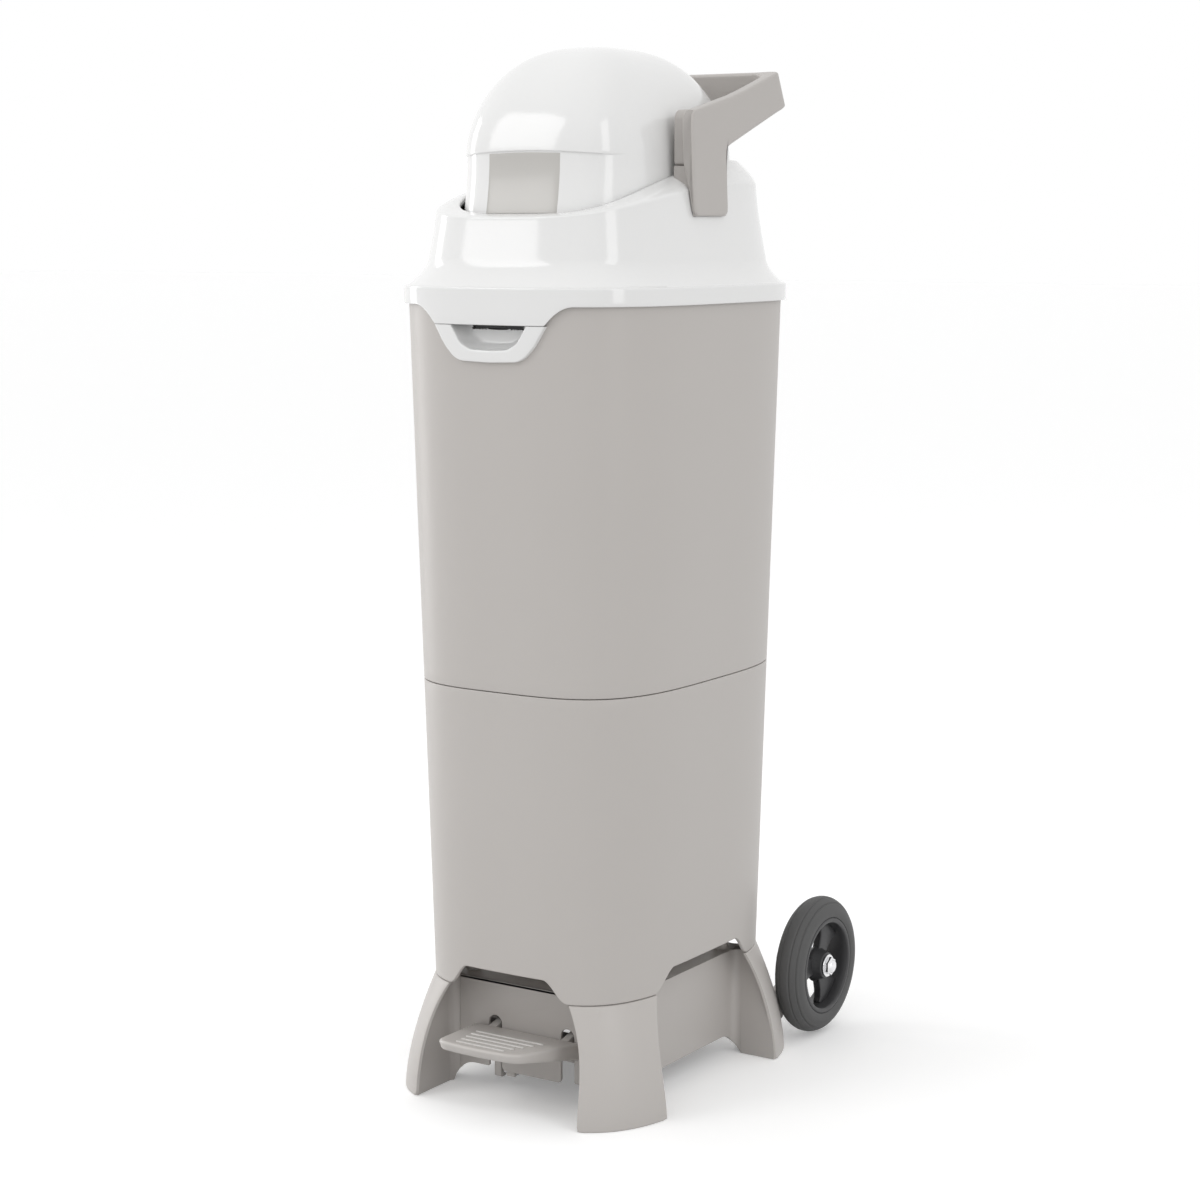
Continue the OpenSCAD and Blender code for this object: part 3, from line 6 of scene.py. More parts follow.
import bmesh
import bpy
import numpy as np
from bpy.props import FloatProperty, FloatVectorProperty, IntProperty, PointerProperty
from bpy.types import Operator, Panel, PropertyGroup
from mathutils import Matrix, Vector

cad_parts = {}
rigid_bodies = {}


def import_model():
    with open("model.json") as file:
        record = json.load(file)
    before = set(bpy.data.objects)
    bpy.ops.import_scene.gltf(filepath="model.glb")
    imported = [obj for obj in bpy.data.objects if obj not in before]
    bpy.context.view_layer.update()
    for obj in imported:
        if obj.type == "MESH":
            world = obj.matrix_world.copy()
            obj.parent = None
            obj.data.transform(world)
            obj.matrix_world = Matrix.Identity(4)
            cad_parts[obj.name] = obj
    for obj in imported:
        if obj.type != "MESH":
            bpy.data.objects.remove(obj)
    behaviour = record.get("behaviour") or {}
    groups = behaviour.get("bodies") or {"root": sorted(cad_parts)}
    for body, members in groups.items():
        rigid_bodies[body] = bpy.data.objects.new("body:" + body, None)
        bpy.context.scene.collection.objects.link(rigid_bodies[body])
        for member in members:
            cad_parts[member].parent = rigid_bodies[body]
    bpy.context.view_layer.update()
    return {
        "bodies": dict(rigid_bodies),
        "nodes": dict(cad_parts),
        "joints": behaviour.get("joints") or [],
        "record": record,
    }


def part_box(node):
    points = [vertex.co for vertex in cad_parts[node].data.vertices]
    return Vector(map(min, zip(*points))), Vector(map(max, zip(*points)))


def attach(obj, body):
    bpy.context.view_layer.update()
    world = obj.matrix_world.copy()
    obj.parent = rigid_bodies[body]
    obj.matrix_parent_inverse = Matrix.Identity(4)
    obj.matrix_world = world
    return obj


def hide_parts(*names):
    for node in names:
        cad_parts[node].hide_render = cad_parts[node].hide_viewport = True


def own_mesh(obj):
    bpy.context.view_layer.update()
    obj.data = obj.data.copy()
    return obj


bl_info = {
    "name": "Nappy Bin Dressing",
    "version": (1, 0, 0),
    "blender": (4, 5, 0),
    "location": "View3D > Sidebar > Bin",
    "description": "Builds the smooth pieces, finishes and stage of a pedal bin around its packed solids",
    "category": "Object",
}

RING = 480  # points of a ring round the bin
EDGE_ANGLE = math.radians(38)  # edges sharper than this stay sharp
MERGE = 2e-6  # points nearer than this are one
TINY = 1e-9  # keeps a division from 0
LEAST_MITRE = 0.4  # keeps an inset corner from running away
SIDES = (("right", 1), ("left", -1))
CORNERS = ((1, 1, 1), (1, -1, 1), (-1, 1, 1), (-1, -1, 1))


def length(name, description, value):
    """A length in metres."""
    return FloatProperty(name=name, description=description, default=value, unit="LENGTH", precision=5)


def number(name, description, value):
    """A plain number, such as a power or a share."""
    return FloatProperty(name=name, description=description, default=value)


def colour(name, description, value):
    """A linear colour."""
    return FloatVectorProperty(name=name, description=description, default=value, subtype="COLOR", size=3)


class BodySizes(PropertyGroup):
    """Sizes of the two body shells, in the frame of the body's own middle."""

    mid_y: length("Middle", "Distance from the part's origin to the body's middle", 0.0295)
    body_w0: length("Foot width", "Width of the body where it stands on the base", 0.2356)
    body_d0: length("Foot depth", "Depth of the body where it stands on the base", 0.314)
    body_w1: length("Top width", "Width of the body under the lid's flange", 0.2672)
    body_d1: length("Top depth", "Depth of the body under the lid's flange", 0.3462)
    base_z: length("Base seam", "Height of the seam between base and body", 0.1065)
    seam_z: length("Body seam", "Height of the seam between the two shells", 0.3839)
    lid_z: length("Lid height", "Height of the flange's lower edge", 0.7227)
    rim_h: length("Rim", "How far the rim reaches up inside the flange", 0.0133)
    wall: length("Wall", "Wall of the shells", 0.003)
    power: number("Corner power", "Power of the rounded plan", 3.5)
    edge: length("Edge", "Radius of the shells' edges", 0.0009)
    gap: length("Seam gap", "Half width of the line at a seam", 0.00035)
    arch_h: length("Arch height", "Height of the arches in the lower edge", 0.0202)
    arch_w: length("Front arch", "Half width of the flat part of the front arch", 0.041)
    arch_run_x: length("Front arch run", "Width of the front arch's slope", 0.024)
    arch_d: length("Side arch", "Half width of the flat part of the side arch", 0.054)
    arch_run_y: length("Side arch run", "Width of the side arch's slope", 0.03)
    floor_h: length("Floor", "Height of the floor above the lower edge", 0.0235)
    post_x: length("Post X", "Distance of the posts from the middle plane", 0.08)
    post_y: length("Post Y", "Distance of the posts before and behind the middle", 0.092)
    post_r: length("Post radius", "Radius of the posts under the floor", 0.007)


class BaseSizes(PropertyGroup):
    """Sizes of the base moulding."""

    flare_x: length("Side flare", "How far the legs flare out sideways at the floor", 0.0248)
    flare_y: length("End flare", "How far the legs flare out to the front and rear", 0.026)
    leg_power: number("Flare power", "Power of the legs' flare", 1.6)
    edge_power: number("Edge power", "Power of the curve of the legs' edges", 3.0)
    gap_w0: length("Front gap at floor", "Half width between the front legs at the floor", 0.0888)
    gap_w1: length("Front gap at seam", "Half width between the front legs at the seam", 0.066)
    gap_d0: length("Side gap at floor", "Half depth between the side legs at the floor", 0.1)
    gap_d1: length("Side gap at seam", "Half depth between the side legs at the seam", 0.08)
    panel_y: length("Front panel", "Distance of the front panel's outer face from the middle", 0.114)
    panel_x: length("Side panel", "Distance of the side panel's outer face from the middle", 0.0912)
    web_y: length("Web", "Distance of the webs from the middle", 0.098)
    deck_z: length("Deck", "Height of the deck's top", 0.103)
    panel_z: length("Panel clearance", "Clearance under the panels", 0.02)
    curve: length("Panel curve", "Width of the curve at a panel's lower corners", 0.022)
    fillet: length("Fillet", "Radius of the inner corners between panels and legs", 0.008)
    corner: length("Foot corner", "Radius of the legs' corners at the floor", 0.005)
    edge: length("Edge", "Radius of the edges", 0.001)
    slot_x: length("Slot place", "Distance of the slots from the middle plane", 0.04)
    slot_w: length("Slot width", "Width of the slots", 0.0144)
    slot_z: length("Slot top", "Height of the slots' round tops", 0.07)
    lug_x: length("Lug place", "Distance of the axle lugs from the middle plane", 0.07)
    lug_w: length("Lug width", "Width of the axle lugs", 0.005)
    lug_r: length("Lug radius", "Radius of the axle lugs", 0.009)


class LidSizes(PropertyGroup):
    """Sizes of the collar, the hood and the handle."""

    flange_out: length("Flange", "How far the flange stands out of the body", 0.0041)
    flange_h: length("Flange height", "Height of the flange", 0.0168)
    apron_h: length("Apron", "Depth of the apron below the flange", 0.0163)
    apron_w: length("Apron width", "Half width of the apron's straight lower edge", 0.058)
    apron_run: length("Apron run", "Width of the apron's slope", 0.026)
    flange_gap: length("Flange gap", "Gap between the flange and the body's rim", 0.0006)
    wall_w0: length("Wall at flare", "Half width of the wall above the flare", 0.1194)
    wall_w1: length("Wall at top", "Half width of the wall at its top", 0.111)
    long: length("Extra depth", "How much deeper than wide the collar is", 0.08)
    mid: length("Middle", "How far the collar's middle lies behind the body's", 0.003)
    height: length("Rim height", "Height of the rim's front above the flange's lower edge", 0.0783)
    rise: length("Rim rise", "Rise of the rim from front to rear", 0.049)
    thick: length("Thickness", "Wall of collar and hood", 0.0025)
    shoulder0: length("Front shoulder", "Height of the shoulder at the front", 0.005)
    shoulder1: length("Rear shoulder", "Height of the shoulder at the rear", 0.0224)
    hood_w: length("Hood width", "Half width of the hood", 0.0889)
    hood_d: length("Hood depth", "Half depth of the hood", 0.1235)
    hood_h: length("Hood height", "Height of the hood above its widest line", 0.0945)
    hood_up: length("Hood line", "Height of the widest line above the rim's front", 0.054)
    hood_mid: length("Hood middle", "How far the hood's middle lies behind the body's", 0.002)
    spread: length("Hood spread", "How far the hood spreads below its widest line", 0.0016)
    low_long: length("Hood foot", "How far the hood's lower edge reaches out to front and rear", 0.0041)
    low: length("Hood drop", "Height of the hood's skirt", 0.0538)
    slant: length("Hood slant", "Rise of the skirt's edge from front to rear", 0.03)
    gap: length("Mouth gap", "Gap between the hood and the collar's mouth", 0.002)
    slack: length("Mouth slack", "Room before and behind the hood in the mouth", 0.004)
    pivot_up: length("Pivot height", "Height of the hood's pins above the rim's front", 0.065)
    brow: length("Brow", "Depth of the step above the window", 0.0017)
    brow_arc: length("Brow arc", "How far the brow's line drops to its ends", 0.004)
    window_w: length("Window width", "Half width of the window", 0.0375)
    window_h: length("Window height", "Height of the window", 0.0535)
    handle_x: length("Handle half width", "Half width of the handle", 0.118)
    handle_len: length("Handle length", "Length of the handle", 0.171)
    handle_h: length("Handle height", "Height of the handle", 0.136)
    handle_front: length("Handle front", "How far the handle's front lies before the pins", 0.032)
    blade: length("Blade", "Thickness of the blades", 0.011)
    blade_low: length("Blade foot", "Thickness of the blades at their lower ends", 0.0041)
    grip_low: length("Grip foot", "How far the grip's lower inner edge lies behind the pins", 0.1292)
    grip_high: length("Grip head", "How far the grip's upper inner edge lies behind the pins", 0.116)
    bend: length("Handle bend", "Inner radius of the handle's corners in plan", 0.015)
    soft: length("Handle edge", "Radius of the handle's edges", 0.0022)
    block_d: length("Block depth", "Half depth of the pivot blocks", 0.025)
    block_h: length("Block height", "Height of the pivot blocks", 0.0485)
    block_lift: length("Block lift", "How far a block's middle lies above the pin", 0.00175)


class GearSizes(PropertyGroup):
    """Sizes of the latch, the pedal and the wheels."""

    pull_w0: length("Pull top", "Half width of the pull's frame at its top", 0.058)
    pull_w1: length("Pull foot", "Half width of the frame at its lower edge", 0.036)
    pull_h: length("Pull height", "Height of the pull's frame", 0.032)
    pull_in0: length("Throat top", "Half width of the hollow at its top", 0.0395)
    pull_in1: length("Throat foot", "Half width of the hollow at its lower edge", 0.0255)
    pull_in_h: length("Throat height", "Height of the hollow", 0.0215)
    pull_back: length("Pull depth", "Distance of the hollow's back from the middle", 0.1592)
    notch_w: length("Notch width", "Half width of the notch for the catch", 0.027)
    notch_h: length("Notch height", "Height of the notch for the catch", 0.004)
    tread_y0: length("Tread rear", "Distance of the tread's rear edge before the middle", 0.118)
    tread_y1: length("Tread front", "Distance of the tread's front edge before the middle", 0.207)
    tread_w0: length("Tread rear width", "Half width of the tread at the rear", 0.059)
    tread_w1: length("Tread front width", "Half width of the tread at the front", 0.043)
    tread_z: length("Tread height", "Height of the tread's rear edge", 0.0612)
    tread_rise: length("Tread rise", "Rise of the tread to the front", 0.0098)
    tread_t0: length("Rear thickness", "Thickness of the tread at the rear", 0.0153)
    tread_t1: length("Front thickness", "Thickness of the tread at the front", 0.0082)
    ribs: IntProperty(name="Ribs", description="Number of ribs on the tread", default=5)
    rib_pitch: length("Rib pitch", "Distance between the ribs", 0.0115)
    pedal_y: length("Axle place", "Distance of the pedal's axle before the middle", 0.098)
    pedal_z: length("Axle height", "Height of the pedal's axle", 0.057)
    arm_x: length("Arm place", "Distance of the arms from the middle plane", 0.04)
    arm_w: length("Arm width", "Width of an arm", 0.008)
    wheel_y: length("Wheel place", "Distance of the wheels behind the middle", 0.199)
    wheel_z: length("Wheel height", "Height of the wheels' middle", 0.069)
    wheel_x: length("Wheel plane", "Distance of the wheels' mid-planes from the middle plane", 0.126)
    tyre_r: length("Tyre radius", "Radius of the tyres", 0.067)
    tube_r: length("Tube radius", "Radius of the tyres' section", 0.0148)
    rim_r: length("Rim radius", "Radius of the rims", 0.0472)
    rim_half: length("Rim half width", "Half width of the rims", 0.0137)
    boss_r: length("Boss radius", "Radius of the hubs' bosses", 0.013)
    boss_half: length("Boss half length", "Half length of the hubs' bosses", 0.0125)
    spokes: IntProperty(name="Spokes", description="Number of spokes", default=3)
    wire: length("Spring wire", "Radius of the return spring's wire", 0.0008)
    coils: IntProperty(name="Coils", description="Turns of the return spring", default=7)
    stroke: length("Stroke", "Travel of the push rod, by which the return spring shortens", 0.02057)


class Colours(PropertyGroup):
    """Colours of the finishes."""

    white: colour("White", "Glossy white shell", (0.84, 0.84, 0.835))
    shell: colour("Shell", "Satin warm grey of body and base", (0.53, 0.503, 0.48))
    trim: colour("Trim", "Warm grey of the handle", (0.5, 0.474, 0.452))
    window: colour("Window", "Grey inlay in the hood", (0.53, 0.515, 0.49))
    ribs: colour("Ribs", "Lighter ribs on the tread", (0.6, 0.585, 0.565))
    black: colour("Black", "Black mouldings", (0.02, 0.02, 0.021))
    hub: colour("Hub", "Dark wheel hubs", (0.035, 0.035, 0.037))
    rubber: colour("Rubber", "Tyre rubber", (0.1, 0.1, 0.1))
    chrome: colour("Chrome", "Polished nuts and washers", (0.82, 0.82, 0.83))
    steel: colour("Steel", "Zinc plated steel", (0.5, 0.5, 0.51))
    floor: colour("Floor", "Pale floor", (0.93, 0.93, 0.93))


def groups(*names):
    """The scene's property groups by their short names."""
    return [getattr(bpy.context.scene, "bin_" + name) for name in names]


def spow(v, p):
    """A power that keeps the sign."""
    return np.sign(v) * np.abs(v) ** p


def ease(v):
    """0 to 1 along half a cosine wave, clipped."""
    return (1 - np.cos(np.pi * np.clip(v, 0, 1))) / 2


def even_angles(a, b, n, count):
    """Angles that lie evenly round a rounded plan."""
    t = np.linspace(0, 2 * np.pi, 16001)
    x, y = a * spow(np.cos(t), 2 / n), b * spow(np.sin(t), 2 / n)
    run = np.concatenate([[0], np.cumsum(np.hypot(np.diff(x), np.diff(y)))])
    return np.interp(np.linspace(0, run[-1], count + 1)[:-1], run, t)


ANGLES = even_angles(0.125, 0.165, 3.5, RING)


def ring(a, b, z, n=3.5, yc=0.0, angles=ANGLES):
    """A ring of points of a rounded plan; a, b and z may differ from point to point."""
    x = a * spow(np.cos(angles), 2 / n)
    y = yc + b * spow(np.sin(angles), 2 / n)
    return np.stack([x, y, np.broadcast_to(z, x.shape)], 1)


def quarter(radius, steps=4):
    """Steps of a quarter round as (how far in, how far along), from the end face to the side."""
    t = np.linspace(0, np.pi / 2, steps + 1)
    return [(radius * (1 - math.sin(w)), radius * (1 - math.cos(w))) for w in t]


def edges(radius, low, high, steps=4):
    """Both rounded edges of a side as (how far in, height), from its low end to its high end."""
    turn = quarter(radius, steps)
    return [(off, low + up) for off, up in turn] + [(off, high - up) for off, up in reversed(turn)]


def linked(name, data):
    """An object with the data, in the scene."""
    obj = bpy.data.objects.new(name, data)
    bpy.context.scene.collection.objects.link(obj)
    return obj


class Form:
    """Collects the faces of one piece."""

    def __init__(self):
        self.verts, self.faces, self.count = [], [], 0

    def add(self, verts, faces):
        """Adds vertices and the faces between them."""
        verts = np.asarray(verts, float).reshape(-1, 3)
        self.verts.append(verts)
        self.faces += [tuple(int(i) + self.count for i in f) for f in faces]
        self.count += len(verts)
        return self

    def loft(self, rows, wrap=True, loop=False, cap0=False, cap1=False, keep=None):
        """Quads between rows of points; keep, if given, says from a face's middle whether it stays."""
        rows = np.asarray(rows, float)
        n, m = rows.shape[:2]
        faces = []
        for r in range(n if loop else n - 1):
            s = (r + 1) % n
            for c in range(m if wrap else m - 1):
                d = (c + 1) % m
                if keep and not keep((rows[r, c] + rows[s, d]) / 2):
                    continue
                faces.append((r * m + c, r * m + d, s * m + d, s * m + c))
        if cap0:
            faces.append(tuple(range(m - 1, -1, -1)))
        if cap1:
            faces.append(tuple((n - 1) * m + c for c in range(m)))
        return self.add(rows, faces)

    def piece(self, name, body, slot, nodes=(), angle=EDGE_ANGLE, shift=True, look=None):
        """Makes the object, smooth apart from its sharp edges, and lets it ride on its body."""
        verts = np.concatenate(self.verts)
        if shift:
            verts = verts - [0, bpy.context.scene.bin_body.mid_y, 0]
        mesh = bpy.data.meshes.new(name)
        mesh.from_pydata(verts.tolist(), [], self.faces)
        bm = bmesh.new()
        bm.from_mesh(mesh)
        bmesh.ops.remove_doubles(bm, verts=bm.verts, dist=MERGE)
        bmesh.ops.recalc_face_normals(bm, faces=bm.faces)
        bm.to_mesh(mesh)
        bm.free()
        mesh.shade_smooth()
        mesh.set_sharp_from_angle(angle=angle)
        obj = linked(name, mesh)
        mesh.materials.append(finishes()[look or slot])
        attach(obj, body)
        if nodes:
            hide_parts(*nodes)
        return obj


def rounded(points, steps=6):
    """A closed outline whose corners are rounded; each point is (x, y, radius)."""
    out, n = [], len(points)
    for i in range(n):
        p = np.array(points[i][:2], float)
        u = np.array(points[i - 1][:2], float) - p
        w = np.array(points[(i + 1) % n][:2], float) - p
        lu, lw = np.linalg.norm(u), np.linalg.norm(w)
        u, w = u / lu, w / lw
        turn = math.pi - math.acos(float(np.clip(u @ w, -1, 1)))
        r = points[i][2]
        cut = min(r * math.tan(turn / 2), 0.48 * lu, 0.48 * lw) if turn > 1e-3 else 0
        if r <= 0 or cut <= 1e-7:
            out.append(p)
            continue
        r = cut / math.tan(turn / 2)
        mid = p + (u + w) / np.linalg.norm(u + w) * r / math.cos(turn / 2)
        a, b = p + u * cut - mid, p + w * cut - mid
        a0 = math.atan2(a[1], a[0])
        d = (math.atan2(b[1], b[0]) - a0 + math.pi) % (2 * math.pi) - math.pi
        k = max(2, int(math.ceil(steps * abs(d) / (math.pi / 2))))
        for w in (a0 + d * j / k for j in range(k + 1)):
            out.append(mid + r * np.array([math.cos(w), math.sin(w)]))
    return np.array(out)


def oblong(x0, x1, y0, y1, low_r, high_r, steps=6):
    """A rounded rectangle whose lower and upper corners may differ."""
    return rounded([(x0, y0, low_r), (x1, y0, low_r), (x1, y1, high_r), (x0, y1, high_r)], steps)


def inset(outline, by):
    """The outline moved inwards by a small length."""
    nxt = np.roll(outline, -1, 0)
    before, after = outline - np.roll(outline, 1, 0), nxt - outline
    area = np.sum(outline[:, 0] * nxt[:, 1] - nxt[:, 0] * outline[:, 1])
    before /= np.maximum(np.linalg.norm(before, axis=1, keepdims=True), TINY)
    after /= np.maximum(np.linalg.norm(after, axis=1, keepdims=True), TINY)
    both = (before + after) * (1.0 if area > 0 else -1.0)
    normal = np.stack([-both[:, 1], both[:, 0]], 1)
    size = np.linalg.norm(normal, axis=1, keepdims=True)
    return outline + normal / np.maximum(size, TINY) * by / np.maximum(size / 2, LEAST_MITRE)


def turned(points, axis):
    """Points (u, v, h) laid out so that h runs along an axis."""
    u, v, h = points[:, 0], points[:, 1], points[:, 2]
    order = {"x": (h, u, v), "y": (u, h, v), "z": (u, v, h)}[axis]
    return np.stack(order, 1)


def plate(form, outline, h0, h1, radius, axis="z", steps=3):
    """A plate of an outline with rounded edges on both sides."""
    loops = []
    for off, h in edges(radius, h0, h1, steps):
        o = inset(outline, off)
        loops.append(turned(np.column_stack([o, np.full(len(o), h)]), axis))
    return form.loft(loops, cap0=True, cap1=True)


def plates(form, outline, x0, x1, radius, signs=(1, -1), steps=3):
    """The same upright plate on the sides of the middle plane that signs names."""
    for s in signs:
        near, far = sorted((x0 * s, x1 * s))
        plate(form, outline, near, far, radius, "x", steps)


def lathe(form, profile, middle, axis="x", count=96, radius_of=None, loop=False):
    """Turns a profile of (radius, along) round an axis; ends on the axis are closed."""
    t = np.linspace(0, 2 * np.pi, count, endpoint=False)
    rows = []
    for r, h in profile:
        k = radius_of(t, h) if radius_of else 1.0
        rows.append(turned(np.column_stack([r * k * np.cos(t), r * k * np.sin(t), np.full(count, h)]), axis))
    rows = np.array(rows) + np.array(middle)
    closed = not loop
    return form.loft(rows, loop=loop, cap0=closed and profile[0][0] > 0, cap1=closed and profile[-1][0] > 0)


def pin(form, r, x0, x1, y, z, axis="x", edge=0.0004):
    """A round bar with slightly rounded ends."""
    middle = {"x": (0, y, z), "z": (y, z, 0)}[axis]
    return lathe(form, [(r - off, h) for off, h in edges(edge, x0, x1, 2)], middle, axis, 48)


def ribbon(form, path, normal, z0, z1, thick, radius):
    """An upright wall along a plan path; its face lies on the path and its thickness goes along normal."""
    z0, z1 = np.broadcast_to(z0, len(path)), np.broadcast_to(z1, len(path))
    face = edges(radius, z0, z1, 3)
    loops = face + [(thick - off, z) for off, z in reversed(face)]
    rows = np.array([np.column_stack([path + normal * off, z]) for off, z in loops])
    return form.loft(rows.transpose(1, 0, 2), cap0=True, cap1=True)


def upright(x, y, z):
    """Points of an upright line; x and y may differ with the height."""
    return np.column_stack([np.broadcast_to(x, z.shape), np.broadcast_to(y, z.shape), z])


# Finishes


def node_of(tree, kind, **values):
    """Adds a shader node and sets its inputs."""
    node = tree.nodes.new(kind)
    for key, value in values.items():
        if key in node.inputs:
            node.inputs[key].default_value = value
        else:
            setattr(node, key, value)
    return node


def finish(
    name, base, rough, grain, depth, vary=0.03, spread=0.05, metal=0.0, coat=0.0, streak=0.0, level=0.5
):
    """A moulded or turned surface: fine grain as bump, slow change of colour and of roughness."""
    mat = bpy.data.materials.new(name)
    mat.use_nodes = True
    tree = mat.node_tree
    link = tree.links.new
    shader = tree.nodes["Principled BSDF"]
    plain = {"Metallic": metal, "Coat Weight": coat, "Coat Roughness": 0.08, "Specular IOR Level": level}
    for key, value in plain.items():
        shader.inputs[key].default_value = value
    mat.diffuse_color = (*base, 1)
    place = node_of(tree, "ShaderNodeTexCoord")
    slow = node_of(tree, "ShaderNodeTexNoise", Scale=14.0, Detail=3.0, Roughness=0.55)
    fine = node_of(tree, "ShaderNodeTexNoise", Scale=grain, Detail=2.0, Roughness=0.6)
    stretch = node_of(tree, "ShaderNodeMapping", Scale=(1, 1, 1 - streak))
    link(place.outputs["Object"], stretch.inputs["Vector"])
    link(place.outputs["Object"], slow.inputs["Vector"])
    link(stretch.outputs["Vector"], fine.inputs["Vector"])
    blend = node_of(tree, "ShaderNodeMix", data_type="RGBA")
    for socket, change in ((6, 1 - vary), (7, 1 + vary)):
        blend.inputs[socket].default_value = (*[min(1, c * change) for c in base], 1)
    link(slow.outputs["Fac"], blend.inputs[0])
    link(blend.outputs[2], shader.inputs["Base Color"])
    mix = node_of(tree, "ShaderNodeMath", operation="ADD")
    link(slow.outputs["Fac"], mix.inputs[0])
    link(fine.outputs["Fac"], mix.inputs[1])
    span = {"From Min": 0.6, "From Max": 1.4, "To Min": rough - spread, "To Max": rough + spread}
    scale = node_of(tree, "ShaderNodeMapRange", **span)
    link(mix.outputs[0], scale.inputs["Value"])
    link(scale.outputs["Result"], shader.inputs["Roughness"])
    bump = node_of(tree, "ShaderNodeBump", Strength=1.0, Distance=depth)
    link(fine.outputs["Fac"], bump.inputs["Height"])
    link(bump.outputs["Normal"], shader.inputs["Normal"])
    return mat


def finishes():
    """The materials by name; made once."""
    c = bpy.context.scene.bin_colours
    table = {
        "white_shell": (c.white, 0.14, 260.0, 4e-5, dict(vary=0.006, spread=0.02, coat=0.35)),
        "body_shell": (c.shell, 0.42, 2600.0, 2.5e-5, dict(vary=0.012, spread=0.03)),
        "trim": (c.trim, 0.4, 2600.0, 2.5e-5, dict(vary=0.012, spread=0.03)),
        "window": (c.window, 0.2, 300.0, 3e-5, dict(vary=0.01, spread=0.02, coat=0.25)),
        "rib": (c.ribs, 0.45, 2200.0, 3e-5, dict(vary=0.015)),
        "black_plastic": (c.black, 0.42, 2200.0, 3e-5, dict(vary=0.1)),
        "wheel_hub": (c.hub, 0.38, 2000.0, 3e-5, dict(vary=0.1)),
        "tyre": (c.rubber, 0.62, 1500.0, 8e-5, dict(vary=0.08, spread=0.08, level=0.35)),
        "chrome": (c.chrome, 0.1, 600.0, 2e-6, dict(vary=0.02, spread=0.04, metal=1.0)),
        "steel": (c.steel, 0.34, 1800.0, 1e-5, dict(vary=0.06, spread=0.08, metal=1.0, streak=0.8)),
    }
    out = {}
    for name, (base, rough, grain, depth, more) in table.items():
        label = "bin_" + name
        out[name] = bpy.data.materials.get(label) or finish(label, tuple(base), rough, grain, depth, **more)
    return out


# Body shells

FRONT = -0.12  # what lies before this belongs to the front
FINE_FROM, FINE_STEP = 0.67, 0.002  # where and how close the upper shell's rows lie, for the throat's cut
LEDGE, LEDGE_DOWN = 0.005, 0.021  # width of the ledge for the bag's ring, and how far it lies below the rim
THROAT_ROOM = 0.003  # room round the throat in the shell
HINGE_BACK, HINGE_DOWN = 0.0109, 0.0067  # the lid's hinge behind the body and below the lid
LUG_HALF, LUG_REACH, LUG_R = 0.0058, 0.006, 0.0055  # half height, reach and corners of the hinge's lugs


def body_half(b, z):
    """Half width and half depth of the body at a height."""
    s = (z - b.base_z) / (b.lid_z - b.base_z)
    return (b.body_w0 + (b.body_w1 - b.body_w0) * s) / 2, (b.body_d0 + (b.body_d1 - b.body_d0) * s) / 2


def body_row(b, z, grow=0.0):
    """A ring of the body at a height, or at a height for each point."""
    w, d = body_half(b, z)
    return ring(w + grow, d + grow, z, b.power)


def front_y(b, x, z, grow=0.0):
    """The body's front face at a place."""
    w, d = body_half(b, z)
    return -(d + grow) * (1 - np.abs(x / (w + grow)) ** b.power) ** (1 / b.power)


def in_throat(b, m, g, x, z):
    """Whether a place lies in the finger pull's hollow, or close round it."""
    top = b.lid_z - m.apron_h
    low = top - g.pull_in_h - THROAT_ROOM
    if not low < z < b.lid_z + 0.001:
        return False
    share = min(1.0, max(0.0, (z - low) / (top - low)))
    return abs(x) < g.pull_in1 + (g.pull_in0 - g.pull_in1) * share + THROAT_ROOM


